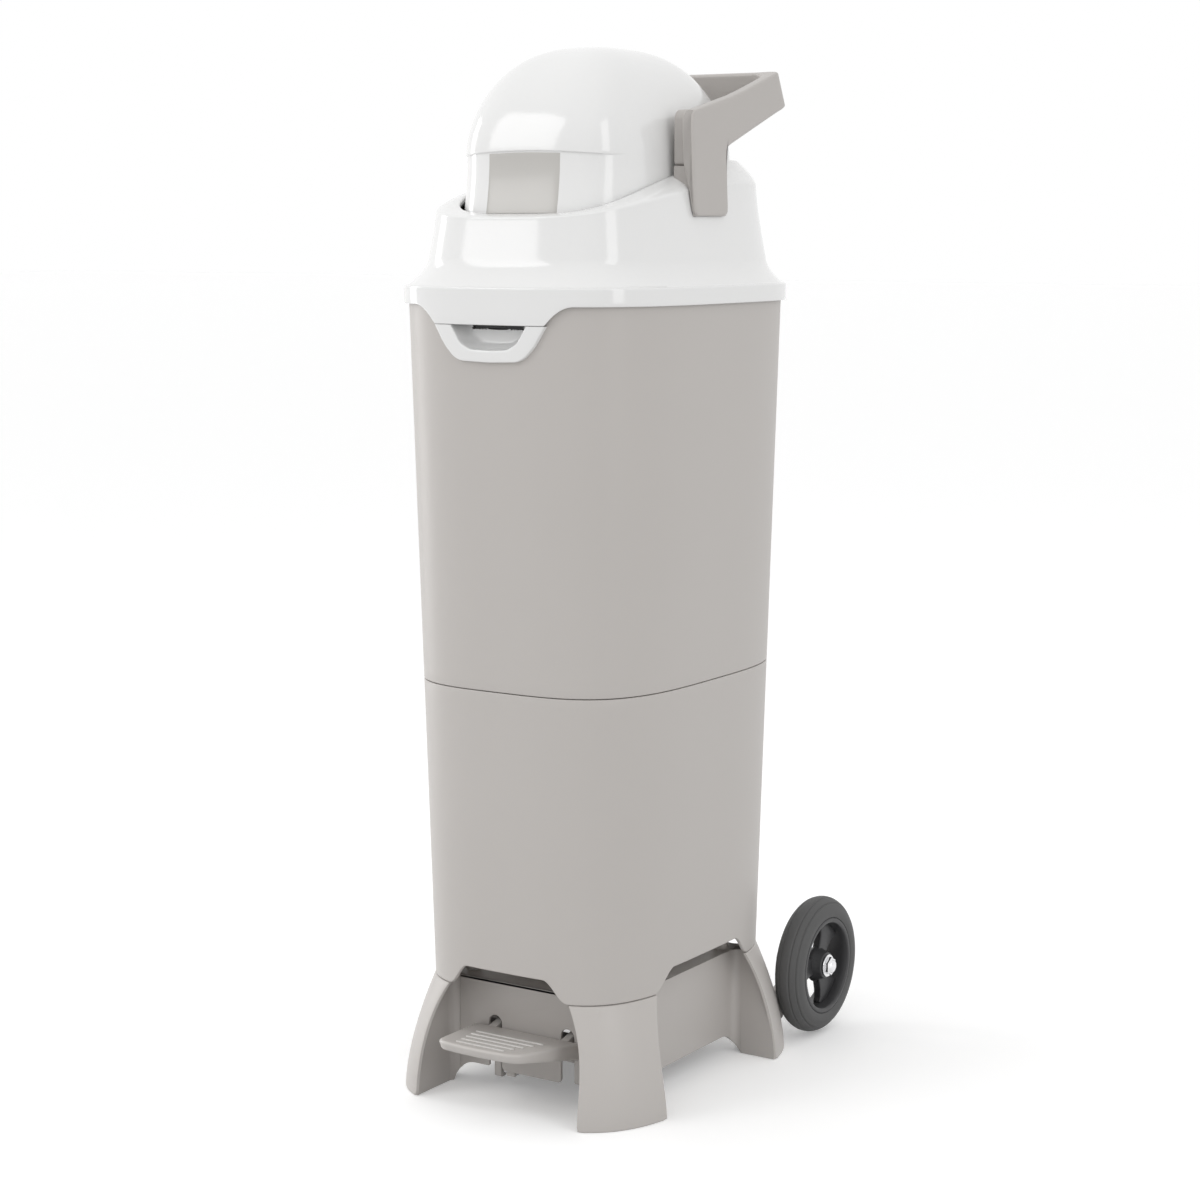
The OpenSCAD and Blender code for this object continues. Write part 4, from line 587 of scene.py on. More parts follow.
class BodyOperator(Operator):
    """Builds the upper and lower body shells"""

    bl_idname = "bin.body"
    bl_label = "Body shells"

    def upper(self, b, m, g):
        """The upper shell with the ledge for the bag's ring, the throat's cut and the hinge's lugs."""
        top, seam, turn = b.lid_z + b.rim_h, b.seam_z + b.gap, quarter(b.edge)
        ledge = top - LEDGE_DOWN
        plan = [(seam, -b.wall)] + [(seam + up, -off) for off, up in turn]
        plan += [(z, 0) for z in np.linspace(seam + 0.01, FINE_FROM - FINE_STEP, 8)]
        plan += [(z, 0) for z in np.arange(FINE_FROM, b.lid_z + 0.004, FINE_STEP)]
        plan += [(top - up, -off) for off, up in reversed(turn)]
        plan += [(top - up, off - b.wall) for off, up in turn]
        plan += [(z, -b.wall) for z in np.linspace(top - 0.004, ledge + 0.001, 6)]
        plan += [(ledge, -b.wall), (ledge, -b.wall - LEDGE), (ledge - 0.003, -b.wall - LEDGE)]
        plan += [(z, -b.wall) for z in np.arange(ledge - 0.008, FINE_FROM - FINE_STEP, -FINE_STEP)]

        def keep(mid):
            return not (mid[1] < FRONT and in_throat(b, m, g, mid[0], mid[2]))

        form = Form().loft([body_row(b, z, grow) for z, grow in plan], loop=True, keep=keep)
        y, z = b.body_d1 / 2 + HINGE_BACK, b.lid_z - HINGE_DOWN
        lug = rounded([
            (y - 0.012, z - LUG_HALF, 0), (y + LUG_REACH, z - LUG_HALF, LUG_R),
            (y + LUG_REACH, z + LUG_HALF, LUG_R), (y - LUG_REACH, z + LUG_HALF, LUG_R),
            (y - 0.012, z - 0.001, 0)])
        plates(form, lug, 0.03, 0.048, 0.0006)
        return form

    def lower(self, b):
        """The lower shell with its arches, its floor and the posts under the floor."""
        plan = body_row(b, b.base_z)
        ax, ay = np.abs(plan[:, 0]), np.abs(plan[:, 1])
        ends = (ay > 0.9 * b.body_d0 / 2) & (ax < b.arch_w + b.arch_run_x)
        sides = (ax > 0.9 * b.body_w0 / 2) & (ay < b.arch_d + b.arch_run_y)
        rise = np.where(ends, 1 - ease((ax - b.arch_w) / b.arch_run_x), 0)
        rise = np.where(sides, 1 - ease((ay - b.arch_d) / b.arch_run_y), rise)
        foot, seam, turn = b.base_z + b.gap + b.arch_h * rise, b.seam_z - b.gap, quarter(b.edge)
        plan = [(foot + 0.002, -b.wall)] + [(foot + up, off - b.wall) for off, up in reversed(turn)]
        plan += [(foot + up, -off) for off, up in turn]
        plan += [(foot + (seam - foot) * f, 0) for f in (0.008, 0.02, 0.06, 0.15, 0.4, 0.7, 0.97)]
        plan += [(seam - up, -off) for off, up in reversed(turn)] + [(seam, -b.wall), (seam - 0.05, -b.wall)]
        form = Form().loft([body_row(b, z, grow) for z, grow in plan], loop=True)
        floor = b.base_z + b.floor_h
        form.loft([body_row(b, z, -b.wall / 2) for z in (floor, floor + b.wall)], cap0=True, cap1=True)
        for x in (-b.post_x, b.post_x):
            for y in (-b.post_y, b.post_y):
                pin(form, b.post_r, 0.1031, floor + 0.001, x, y, "z")
        return form

    def execute(self, context):
        b, m, g = groups("body", "lid", "gear")
        self.upper(b, m, g).piece("upper_shell", "root", "body_shell", ["upper_body"])
        self.lower(b).piece("lower_shell", "root", "body_shell", ["lower_body"])
        return {"FINISHED"}


# Base

LEG_POINTS = 44  # points of a leg's skin in a row
PANEL_POINTS = 81  # points along a panel
PANEL_EDGE = 0.0006  # radius of the panels' edges
SKIN_GAP = 0.0003  # how far the inner walls end below the legs' upper edge
BRACKET = (0.12, 0.178, 0.014, 0.046, 0.014)  # rear and front, low and high, radius of the round end


def leg_edge(p, w0, w1, z, top):
    """Half width of the gap between two legs at a height, with a round corner at the floor."""
    edge = w0 + (w1 - w0) * np.clip(z / top, 0, 1) ** p.edge_power
    near = np.clip(p.corner - z, 0, p.corner)
    return edge + p.corner - np.sqrt(p.corner**2 - near**2)


def leg_half(b, p, z):
    """Half width and half depth of the legs' skin at a height."""
    swell = 1 - np.clip(z / b.base_z, 0, 1) ** p.leg_power
    return b.body_w0 / 2 + p.flare_x * swell, b.body_d0 / 2 + p.flare_y * swell


def leg_row(b, p, z, grow, count, trim=0.0):
    """Points of a leg's skin at a height, from its side edge to its front edge."""
    w, d = leg_half(b, p, z)
    ex = leg_edge(p, p.gap_w0, p.gap_w1, z, b.base_z) + trim
    ey = leg_edge(p, p.gap_d0, p.gap_d1, z, b.base_z) + trim
    n = b.power
    t1, t0 = math.acos((ex / w) ** (n / 2)), math.asin((ey / d) ** (n / 2))
    t = np.linspace(t0, t1, 400)
    x, y = (w + grow) * np.cos(t) ** (2 / n), (d + grow) * np.sin(t) ** (2 / n)
    run = np.concatenate([[0], np.cumsum(np.hypot(np.diff(x), np.diff(y)))])
    at = np.linspace(0, run[-1], count)
    return np.column_stack([np.interp(at, run, x), np.interp(at, run, y), np.full(count, z)])


def skin_y(b, p, x, z):
    """How far the legs' skin reaches to the front at a place."""
    w, d = leg_half(b, p, z)
    return d * (1 - np.clip(x / w, 0, 1) ** b.power) ** (1 / b.power)


def skin_x(b, p, y, z):
    """How far the legs' skin reaches sideways at a place."""
    w, d = leg_half(b, p, z)
    return w * (1 - np.clip(y / d, 0, 1) ** b.power) ** (1 / b.power)


def wall_sheet(form, near, far, depth):
    """A wall between a near and a far upright line; depth is its thickness as a vector."""
    face = np.array([near * (1 - f) + far * f for f in np.linspace(0, 1, 5)])
    rows = np.concatenate([face, face[::-1] + np.array(depth)])
    return form.loft(rows.transpose(1, 0, 2), cap0=True, cap1=True)


def panel_foot(p, along, flat):
    """Height of a panel's lower edge, which curves down beside its flat middle."""
    v = np.clip((np.abs(along) - flat) / p.curve, 0, 1)
    return p.panel_z * np.sqrt(np.maximum(0, 1 - v**2)) + 0.0002


class BaseOperator(Operator):
    """Builds the base moulding with its legs, panels and webs"""

    bl_idname = "bin.base"
    bl_label = "Base moulding"

    def legs(self, form, b, p, top):
        """The skins of the four legs, closed along their lower and upper edges."""
        turn, soft = quarter(p.edge)[:-1], p.edge * 0.35
        plan = [(up, off) for off, up in turn]
        plan += [(z, 0.0) for z in (*np.linspace(0.0012, 0.012, 8), *np.linspace(0.017, top - 0.0012, 22))]
        plan += [(top - up, off) for off, up in reversed(turn)]
        rows = []
        for z, off in plan:
            side = off - 0.00035 + p.edge * 0.1
            outer, inner = (leg_row(b, p, z, grow, LEG_POINTS, off) for grow in (-off, off - b.wall))
            near, far = (leg_row(b, p, z, grow, LEG_POINTS, side) for grow in (-soft, soft - b.wall))
            back = inner[1:-1][::-1]
            rows.append(np.concatenate([near[:1], outer[1:-1], near[-1:], far[-1:], back, far[:1]]))
        leg = np.array(rows)
        half = LEG_POINTS
        for flip in CORNERS:
            form.loft(leg * flip)
            for edge in (leg[0] * flip, leg[-1] * flip):
                form.loft([edge[:half], edge[half:][::-1]], wrap=False)

    def panels(self, form, b, p, top):
        """The recessed panels, with the legs' inner walls, the webs and the fillets between them."""
        r, inner_x = p.fillet, p.panel_x - b.wall
        flat_w, flat_d = inner_x - p.curve - b.wall, p.web_y - p.curve

        def panel(path, normal, along, flat):
            foot = panel_foot(p, along, flat)
            ribbon(form, path, normal, foot, p.deck_z, b.wall, PANEL_EDGE)

        z = np.concatenate([[0.0004, 0.0008, 0.0014], np.linspace(0.003, top - SKIN_GAP, 16)])
        y_far = skin_y(b, p, inner_x + 0.0015, z) - 0.0012
        x_far = skin_x(b, p, p.web_y + 0.0015, z) - 0.0012
        arc = np.linspace(0, np.pi / 2, 7)
        turn = np.column_stack([np.sin(arc), -np.cos(arc)])
        fillets = (
            (np.array([inner_x - r, p.panel_y + r]), turn, 0, flat_w),
            (np.array([p.panel_x + r, p.web_y - r]), turn[:, ::-1], 1, flat_d),
        )
        y = np.linspace(-(p.web_y - r), p.web_y - r, PANEL_POINTS)
        x = np.linspace(-(inner_x - r), inner_x - r, PANEL_POINTS)
        for sx in (1, -1):
            for sy in (1, -1):
                flip = (sx, sy, 1)
                near, far = upright(inner_x, p.panel_y + r, z), upright(inner_x, y_far, z)
                wall_sheet(form, near * flip, far * flip, (sx * b.wall, 0, 0))
                near, far = upright(p.panel_x + r, p.web_y, z), upright(x_far, p.web_y, z)
                wall_sheet(form, near * flip, far * flip, (0, sy * b.wall, 0))
                for middle, normal, axis, flat in fillets:
                    path = middle + r * normal
                    panel(path * [sx, sy], normal * [sx, sy], path[:, axis], flat)
            side = np.column_stack([np.full_like(y, p.panel_x * sx), y])
            panel(side, np.tile([-sx, 0], (len(y), 1)), y, flat_d)
        rear = np.column_stack([x, np.full_like(x, p.panel_y)])
        panel(rear, np.tile([0, -1], (len(x), 1)), x, flat_w)
        self.front(form, b, p, inner_x - r, flat_w)

    def front(self, form, b, p, end, flat):
        """The front panel with the two slots for the pedal's arms."""
        half, low, top_r = p.slot_w / 2, p.panel_z + 0.0002, p.slot_w / 2 * 0.98
        foot = np.linspace(end, p.slot_x + half + 0.0035, 12)
        right = [(x, panel_foot(p, x, flat), 0) for x in foot]
        right += [(p.slot_x + half, low, 0.003), (p.slot_x + half, p.slot_z, top_r)]
        right += [(p.slot_x - half, p.slot_z, top_r), (p.slot_x - half, low - 0.002, 0.004)]
        left = [(-x, z, r) for x, z, r in reversed(right)]
        outline = rounded([(end, p.deck_z, 0)] + right + left + [(-end, p.deck_z, 0)], 8)
        plate(form, outline, -p.panel_y, -p.panel_y + b.wall, PANEL_EDGE, "y")

    def deck(self, form, b, p, top):
        """The deck inside the panels, and its corners over the legs."""
        inner_x, count = p.panel_x - b.wall, 30
        deck = oblong(-inner_x, inner_x, -p.panel_y, p.panel_y, 0, 0)
        plate(form, deck, p.deck_z - b.wall, p.deck_z, 0.0005)
        rows = []
        for z in (top - SKIN_GAP - b.wall, top - SKIN_GAP):
            skin = leg_row(b, p, z, -0.0015, 600)
            skin = skin[(skin[:, 0] >= inner_x) & (skin[:, 1] >= p.web_y)]
            skin = skin[np.linspace(0, len(skin) - 1, count).astype(int)]
            y = np.linspace(p.web_y, skin[-1, 1], count)
            rows.append((skin, upright(p.panel_x - 0.001, y, np.full(count, z))))
        (skin0, line0), (skin1, line1) = rows
        for flip in CORNERS:
            form.loft(np.array([line0, skin0, skin1, line1]) * flip, wrap=False, loop=True)

    def lugs(self, form, b, p, g):
        """The two lugs that hold the pedal's axle, and the lug that stops the pedal."""
        y0, y1 = -p.panel_y + 0.001, -g.pedal_y + p.lug_r
        low, high = g.pedal_z - p.lug_r, p.deck_z - 0.001
        lug = rounded([(y0, low, 0), (y1, low, p.lug_r * 0.95), (y1, high, 0), (y0, high, 0)])
        plates(form, lug, p.lug_x, p.lug_x + p.lug_w, 0.0005)
        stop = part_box("pedal_stop_pin")
        mid = (stop[0].z + stop[1].z) / 2
        y0, y1 = -p.panel_y + 0.002, stop[0].y + b.mid_y - 0.0004
        low, high = mid - 0.002, g.pedal_z
        lug = rounded([(y0, low, 0), (y1, low, 0.001), (y1, high, 0.001), (y0, high, 0)])
        plate(form, lug, -0.029, -0.02, 0.0005, "x")

    def bracket(self, p, g):
        """The right wheel's bracket, with a round end at the axle."""
        y0, y1, z0, z1, end_r, lean = *BRACKET, math.radians(24)
        turn = np.linspace(-lean, math.pi / 2 + math.radians(66), 14)
        end = [(g.wheel_y + end_r * math.cos(w), g.wheel_z + end_r * math.sin(w), 0) for w in turn]
        low, high = [(y0, z0, 0.003), (y1, z0, 0.006)], [(y1 + 0.002, z1, 0.006), (y0, z1, 0.003)]
        return plate(Form(), rounded(low + end + high), p.panel_x + 0.0001, p.panel_x + 0.0097, 0.001, "x")

    def execute(self, context):
        b, p, g = groups("body", "base", "gear")
        form, top = Form(), b.base_z - b.gap
        self.legs(form, b, p, top)
        self.panels(form, b, p, top)
        self.deck(form, b, p, top)
        self.lugs(form, b, p, g)
        form.piece("base_moulding", "root", "body_shell", ["base"])
        form = self.bracket(p, g)
        for name, sign in SIDES:
            side = Form()
            side.add(np.concatenate(form.verts) * [sign, 1, 1], form.faces)
            side.piece("bracket_" + name, "root", "body_shell", ["wheel_bracket_" + name])
        return {"FINISHED"}


# Collar and hood

HOOD_POWER = 4  # of the rounded plan of the hood and of the mouth
FLARE_H = 0.0226  # height of the flare above the flange
INLAY = 0.0002  # how far the window's inlay stands out
INLAY_EDGE = ((0.0, -0.0012), (0.0, 0.0), (0.0001, 0.00016), (0.0004, INLAY))  # (in from the edge, out)
EAR_HALF = 0.004  # half depth of the ears that hold the catch's pin
LIP = ((0.0005, 0.0001), (0.0009, 0.0004), (0.0011, 0.0009), (0.0011, 0.003), (0.0009, 0.0045))  # (in, down)


def rim_share(m, y):
    """0 at the rim's front and 1 at its rear."""
    return np.clip((y + m.wall_w1 + m.long / 2 - 0.002) / 0.24, 0, 1)


def rim_top(b, m, y):
    """Height of the rim at a place."""
    return b.lid_z + m.height + m.rise * (1 - (1 - rim_share(m, y)) ** 1.5)


def collar_wall(b, m, z):
    """Half width of the collar's wall at a height."""
    foot = b.lid_z + FLARE_H + m.flange_h
    return m.wall_w1 + (m.wall_w0 - m.wall_w1) * (1 - np.clip((z - foot) / 0.063, 0, 1)) ** 1.3


def shoulder(b, m):
    """Places along the depth round the wall, with the rim's share and the shoulder's height there."""
    y = ring(m.wall_w1, m.wall_w1 + m.long / 2, 0, b.power, m.mid)[:, 1]
    share = rim_share(m, y)
    return y, share, m.shoulder0 + (m.shoulder1 - m.shoulder0) * share


def wall_row(b, m, part, grow):
    """A ring of the collar's wall from the flare's end, 0, to the shoulder, 1."""
    y, share, depth = shoulder(b, m)
    low, high = b.lid_z + m.flange_h + FLARE_H, rim_top(b, m, y) - depth
    z = low + (high - low) * part + grow * part
    w = collar_wall(b, m, z) + grow
    return ring(w, w + m.long / 2, z, b.power, m.mid)


def shoulder_row(b, m, part, grow):
    """A ring of the shoulder from the wall, 0, to the edge of the mouth, 1."""
    wall = wall_row(b, m, 1, grow)
    y, share, depth = shoulder(b, m)
    reach = m.hood_d + m.low_long + m.spread + m.slack
    mouth = ring(m.hood_w + m.spread + m.gap, reach, 0, HOOD_POWER, m.mid)
    out = wall + (mouth - wall) * part
    out[:, 2] = wall[:, 2] + depth * (part ** (0.3 + 0.4 * share) if part > 0 else 0)
    return out


def flare_row(b, m, t, grow):
    """A ring of the flare from the flange, 0, to the wall, 1, along a curve of the second order."""
    a, d = b.body_w1 / 2 + m.flange_out, b.body_d1 / 2 + m.flange_out
    top = b.lid_z + m.flange_h
    foot, knee = (a - 0.0032, top - 0.0009), (m.wall_w0 + 0.0016, top + 0.0111)
    head = m.wall_w0, top + FLARE_H
    w, z = [(i * (1 - t) + j * t) * (1 - t) + (j * (1 - t) + k * t) * t for i, j, k in zip(foot, knee, head)]
    more = (d - a) * (1 - t) + m.long / 2 * t
    return ring(w + grow, w + more + grow, z, b.power, m.mid * t)


class CollarOperator(Operator):
    """Builds the collar with its flange, apron, flare and rim"""

    bl_idname = "bin.collar"
    bl_label = "Collar"

    def shell(self, b, m, a, d, top):
        """The collar's wall: up its outer side, over the lip of the mouth and down its inner side."""
        plan = ring(a, d, 0, b.power)
        slope = (1 - np.clip((np.abs(plan[:, 0]) - m.apron_w) / m.apron_run, 0, 1)) ** 2
        low = b.lid_z - m.apron_h * np.where(plan[:, 1] < FRONT, slope, 0)
        seat = b.lid_z + b.rim_h + 0.0003
        inner_w, inner_d = (half + m.flange_gap for half in body_half(b, b.lid_z + b.rim_h))

        def socket(z, grow=0.0):
            return ring(inner_w + grow, inner_d + grow, z, b.power)

        def flange(z, off):
            return ring(a - off, d - off, z, b.power)

        rows = [socket(seat), socket(low + 0.0045), socket(low + 0.0006), socket(low, 0.0005)]
        rows += [flange(low + up, off) for off, up in quarter(0.0011)]
        rows += [flange(low + (top - 0.003 - low) * f, 0) for f in (0.3, 0.55, 0.8, 1)]
        rows += [flange(top - 0.0009 - up, off) for off, up in reversed(quarter(0.0014, 5))]
        rows.append(flange(top - 0.00095, 0.0022))
        rows += [flare_row(b, m, t, 0) for t in np.linspace(0, 1, 15)]
        rows += [wall_row(b, m, t, 0) for t in np.linspace(0.08, 0.96, 12)]
        rows += [shoulder_row(b, m, t**2.4, 0) for t in np.linspace(0, 1, 22)]
        mouth = rows[-1]
        inward = ([0, m.mid, 0] - mouth) * [1, 1, 0]
        inward /= np.linalg.norm(inward, axis=1, keepdims=True)
        rows += [mouth + inward * off - [0, 0, down] for off, down in LIP]
        rows.append(shoulder_row(b, m, 1, -m.thick) - [0, 0, 0.0022])
        rows += [shoulder_row(b, m, t**2, -m.thick) for t in np.linspace(0.92, 0, 10)]
        rows += [wall_row(b, m, t, -m.thick) for t in np.linspace(0.9, 0.1, 6)]
        rows += [flare_row(b, m, t, -m.thick) for t in np.linspace(1, 0.5, 5)]
        rows.append(flange(seat, 0.0096))
        return Form().loft(rows, loop=True)

    def execute(self, context):
        b, m = groups("body", "lid")
        a, d = b.body_w1 / 2 + m.flange_out, b.body_d1 / 2 + m.flange_out
        top = b.lid_z + m.flange_h
        form = self.shell(b, m, a, d, top)
        y, z, rear = b.body_d1 / 2 + HINGE_BACK, b.lid_z - HINGE_DOWN, d - 0.003
        lug = rounded([
            (y - LUG_R, z - LUG_HALF, LUG_R), (y + LUG_REACH, z - LUG_HALF, LUG_R),
            (y + LUG_REACH, b.lid_z + 0.008, 0.003), (rear, b.lid_z + 0.012, 0), (rear, b.lid_z, 0),
            (y - LUG_R, b.lid_z, 0)])
        plates(form, lug, 0.0484, 0.0624, 0.0006)
        low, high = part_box("latch_pin")
        y, z = (low.y + high.y) / 2 + b.mid_y, (low.z + high.z) / 2
        ear = oblong(y - EAR_HALF, y + EAR_HALF, z - EAR_HALF, top + 0.012, 0.003, 0)
        plates(form, ear, 0.0263, 0.0293, 0.0004)
        form.piece("collar_shell", "lid", "white_shell", ["collar"])
        return {"FINISHED"}


def hood_foot(b, m, y):
    """Height of the hood's lower edge at a place."""
    return b.lid_z + m.height + m.hood_up - m.low + m.slant * (y / (2 * m.hood_d) + 0.5)


def brow_at(m, y):
    """How far the hood's front is set back below the brow, by the place along the depth."""
    return m.brow * ease((-y - 0.08) / 0.036)


def arched(b, m, row):
    """A row near the brow with the brow's arc."""
    near = np.exp(-(((row[:, 2] - b.lid_z - m.height - m.hood_up) / 0.014) ** 2))
    row[:, 2] -= m.brow_arc * (row[:, 0] / 0.08) ** 2 * ease((-row[:, 1] - 0.05) / 0.06) * near
    return row


def hood_plan(m, w, d, brow, f=1.0):
    """A ring of the hood in plan, set back at its front by a share of the brow."""
    back = brow_at(m, ring(w * f, d * f, 0, HOOD_POWER, m.hood_mid)[:, 1]) * brow
    return ring((w - back) * f, (d - back) * f, 0, HOOD_POWER, m.hood_mid)


def skirt_half(m, part):
    """Half width and half depth of the skirt from its lower edge, 0, to its widest line, 1."""
    s = (1 - part) ** 2
    return m.hood_w + m.spread * s, m.hood_d + (m.spread + m.low_long) * s


def hood_row(b, m, part, grow, brow=1.0):
    """A ring of the hood's skirt from its lower edge, 0, to its widest line, 1."""
    w, d = skirt_half(m, part)
    plan = hood_plan(m, w + grow, d + grow, brow)
    foot = hood_foot(b, m, plan[:, 1])
    plan[:, 2] = foot + (b.lid_z + m.height + m.hood_up - foot) * part
    return plan


def dome_row(b, m, w, grow, brow=0.0):
    """A ring of the dome at an angle above its widest line."""
    plan = hood_plan(m, m.hood_w + grow, m.hood_d + grow, brow, math.cos(w) ** (2 / 2.65))
    plan[:, 2] = b.lid_z + m.height + m.hood_up + (m.hood_h + grow) * math.sin(w) ** (2 / 1.65)
    return plan


class HoodOperator(Operator):
    """Builds the hood with its brow, and the window set into its front"""

    bl_idname = "bin.hood"
    bl_label = "Hood and window"

    def shell(self, b, m, line):
        """The hood's wall, up its outer side and down its inner side, with the bosses for the pins."""
        rows = [hood_row(b, m, 0, grow) for grow in (0.0008 - m.thick, -0.0008)]
        rows += [hood_row(b, m, part, 0) for part in (0.012, 0.05, 0.15, 0.3, 0.5, 0.7, 0.85, 0.95, 0.985)]
        rows.append(hood_row(b, m, 1, 0, 0.92))
        for up, brow in ((0.0003, 0.25), (0.0009, 0.0)):
            step = dome_row(b, m, math.radians(1.5), 0, brow)
            step[:, 2] = line + up
            rows.append(step)
        angles = np.radians([*np.linspace(4, 74, 30), *np.linspace(76, 89.4, 14)])
        tip = np.tile([0, m.hood_mid, line + m.hood_h], (RING, 1))
        rows += [dome_row(b, m, w, 0) for w in angles] + [tip, tip - [0, 0, m.thick]]
        rows += [dome_row(b, m, w, -m.thick) for w in angles[::-3]]
        rows += [hood_row(b, m, part, -m.thick) for part in (0.9, 0.5, 0.2, 0.03)]
        form = Form().loft([arched(b, m, row) for row in rows], loop=True)
        for s in (1, -1):
            x0, x1 = sorted(((m.hood_w - 0.009) * s, (m.hood_w - 0.001) * s))
            pin(form, 0.009, x0, x1, 0, b.lid_z + m.height + m.pivot_up)
        return form

    def window(self, b, m, line):
        """The inlay, which follows the hood's front and stands slightly proud of it."""

        def skin(x, z, proud):
            w, d = (half - m.brow + proud for half in skirt_half(m, (z - line + m.low) / m.low))
            return m.hood_mid - d * (1 - np.abs(x / w) ** HOOD_POWER) ** (1 / HOOD_POWER)

        def places(low, high, count):
            """Places from edge to edge, each with how far the inlay stands out there."""
            row = [(low + o, p) for o, p in INLAY_EDGE]
            row += [(v, INLAY) for v in np.linspace(low + 0.003, high - 0.003, count)]
            return row + [(high - o, p) for o, p in INLAY_EDGE[::-1]]

        half = m.window_w - 0.0002
        across = places(-half, half, 26)
        rows = []
        for z, up in places(line - m.window_h, line - 0.0011, 14):
            rows.append(arched(b, m, np.array([[x, skin(x, z, min(out, up)), z] for x, out in across])))
        return Form().loft(rows, wrap=False)

    def execute(self, context):
        b, m = groups("body", "lid")
        line = b.lid_z + m.height + m.hood_up
        self.shell(b, m, line).piece("hood_shell", "hood", "white_shell", ["hood"])
        self.window(b, m, line).piece("window_inlay", "hood", "window", ["hood_window"])
        return {"FINISHED"}


# Handle and pivot blocks

# the blade's outline, as shares of the handle's length and height from its front foot
BLADE_FRONT = ((0.048, 0.0), (0.036, 0.014), (0.0205, 0.168), (0.0105, 0.31), (0, 0.578), (0.0005, 0.63),
               (0.009, 0.66), (0.03, 0.6755))
BLADE_BOTTOM = ((0.048, 0.0), (0.345, 0.0), (0.36, 0.006), (0.364, 0.03), (0.352, 0.206), (0.34, 0.4),
                (0.346, 0.435), (0.375, 0.4576))
BLADE_TOP = ((0.03, 0.6755), (0.084, 0.69), (0.172, 0.7154), (0.298, 0.7515), (0.427, 0.788), (0.557, 0.834))
GRIP_LOW, GRIP_HIGH = ((0.337, 0.44), (0.994, 0.745)), ((0.557, 0.834), (0.906, 0.971))
KNEE = (0.169, 0.345)  # shares of the height between which the blade grows to its full thickness
FRONT_SHARE = 0.22  # share of the blade over which the front's bow fades
BLADE_ROWS = 15  # points from the blade's lower to its upper edge
BLADE_STEPS = np.concatenate([np.linspace(0, 0.22, 10), np.linspace(0.25, 0.5, 14), np.linspace(0.53, 1, 16)])
CORNER_POWER = 0.2  # of the grip's outer corner in plan; the nearer to 0, the squarer


def polyline(points, share):
    """Places along a line of points, by share of its length."""
    pts = np.array(points, float)
    run = np.concatenate([[0], np.cumsum(np.linalg.norm(np.diff(pts, axis=0), axis=1))])
    run /= run[-1]
    return np.column_stack([np.interp(share, run, pts[:, 0]), np.interp(share, run, pts[:, 1])])


def on(line, y):
    """Height of a straight line of two points (y, z) at a place."""
    (ya, za), (yb, zb) = line
    return za + (zb - za) * (y - ya) / (yb - ya)


def closed_section(outer, inner, radius):
    """A closed section with rounded edges, up an outer line of points and down an inner one."""

    def unit(v):
        return v / np.linalg.norm(v)

    def along(v):
        return unit(v * [0, 1, 1])

    turn = quarter(radius)
    foot, head = unit(inner[0] - outer[0]), unit(inner[-1] - outer[-1])
    points = [outer[0] + foot * off + along(outer[1] - outer[0]) * up for off, up in turn]
    points += list(outer[1:-1])
    points += [outer[-1] + head * off - along(outer[-1] - outer[-2]) * up for off, up in reversed(turn)]
    points += [inner[-1] - head * off - along(inner[-1] - inner[-2]) * up for off, up in turn]
    points += list(inner[-2:0:-1])
    points += [inner[0] - foot * off + along(inner[1] - inner[0]) * up for off, up in reversed(turn)]
    return np.array(points)


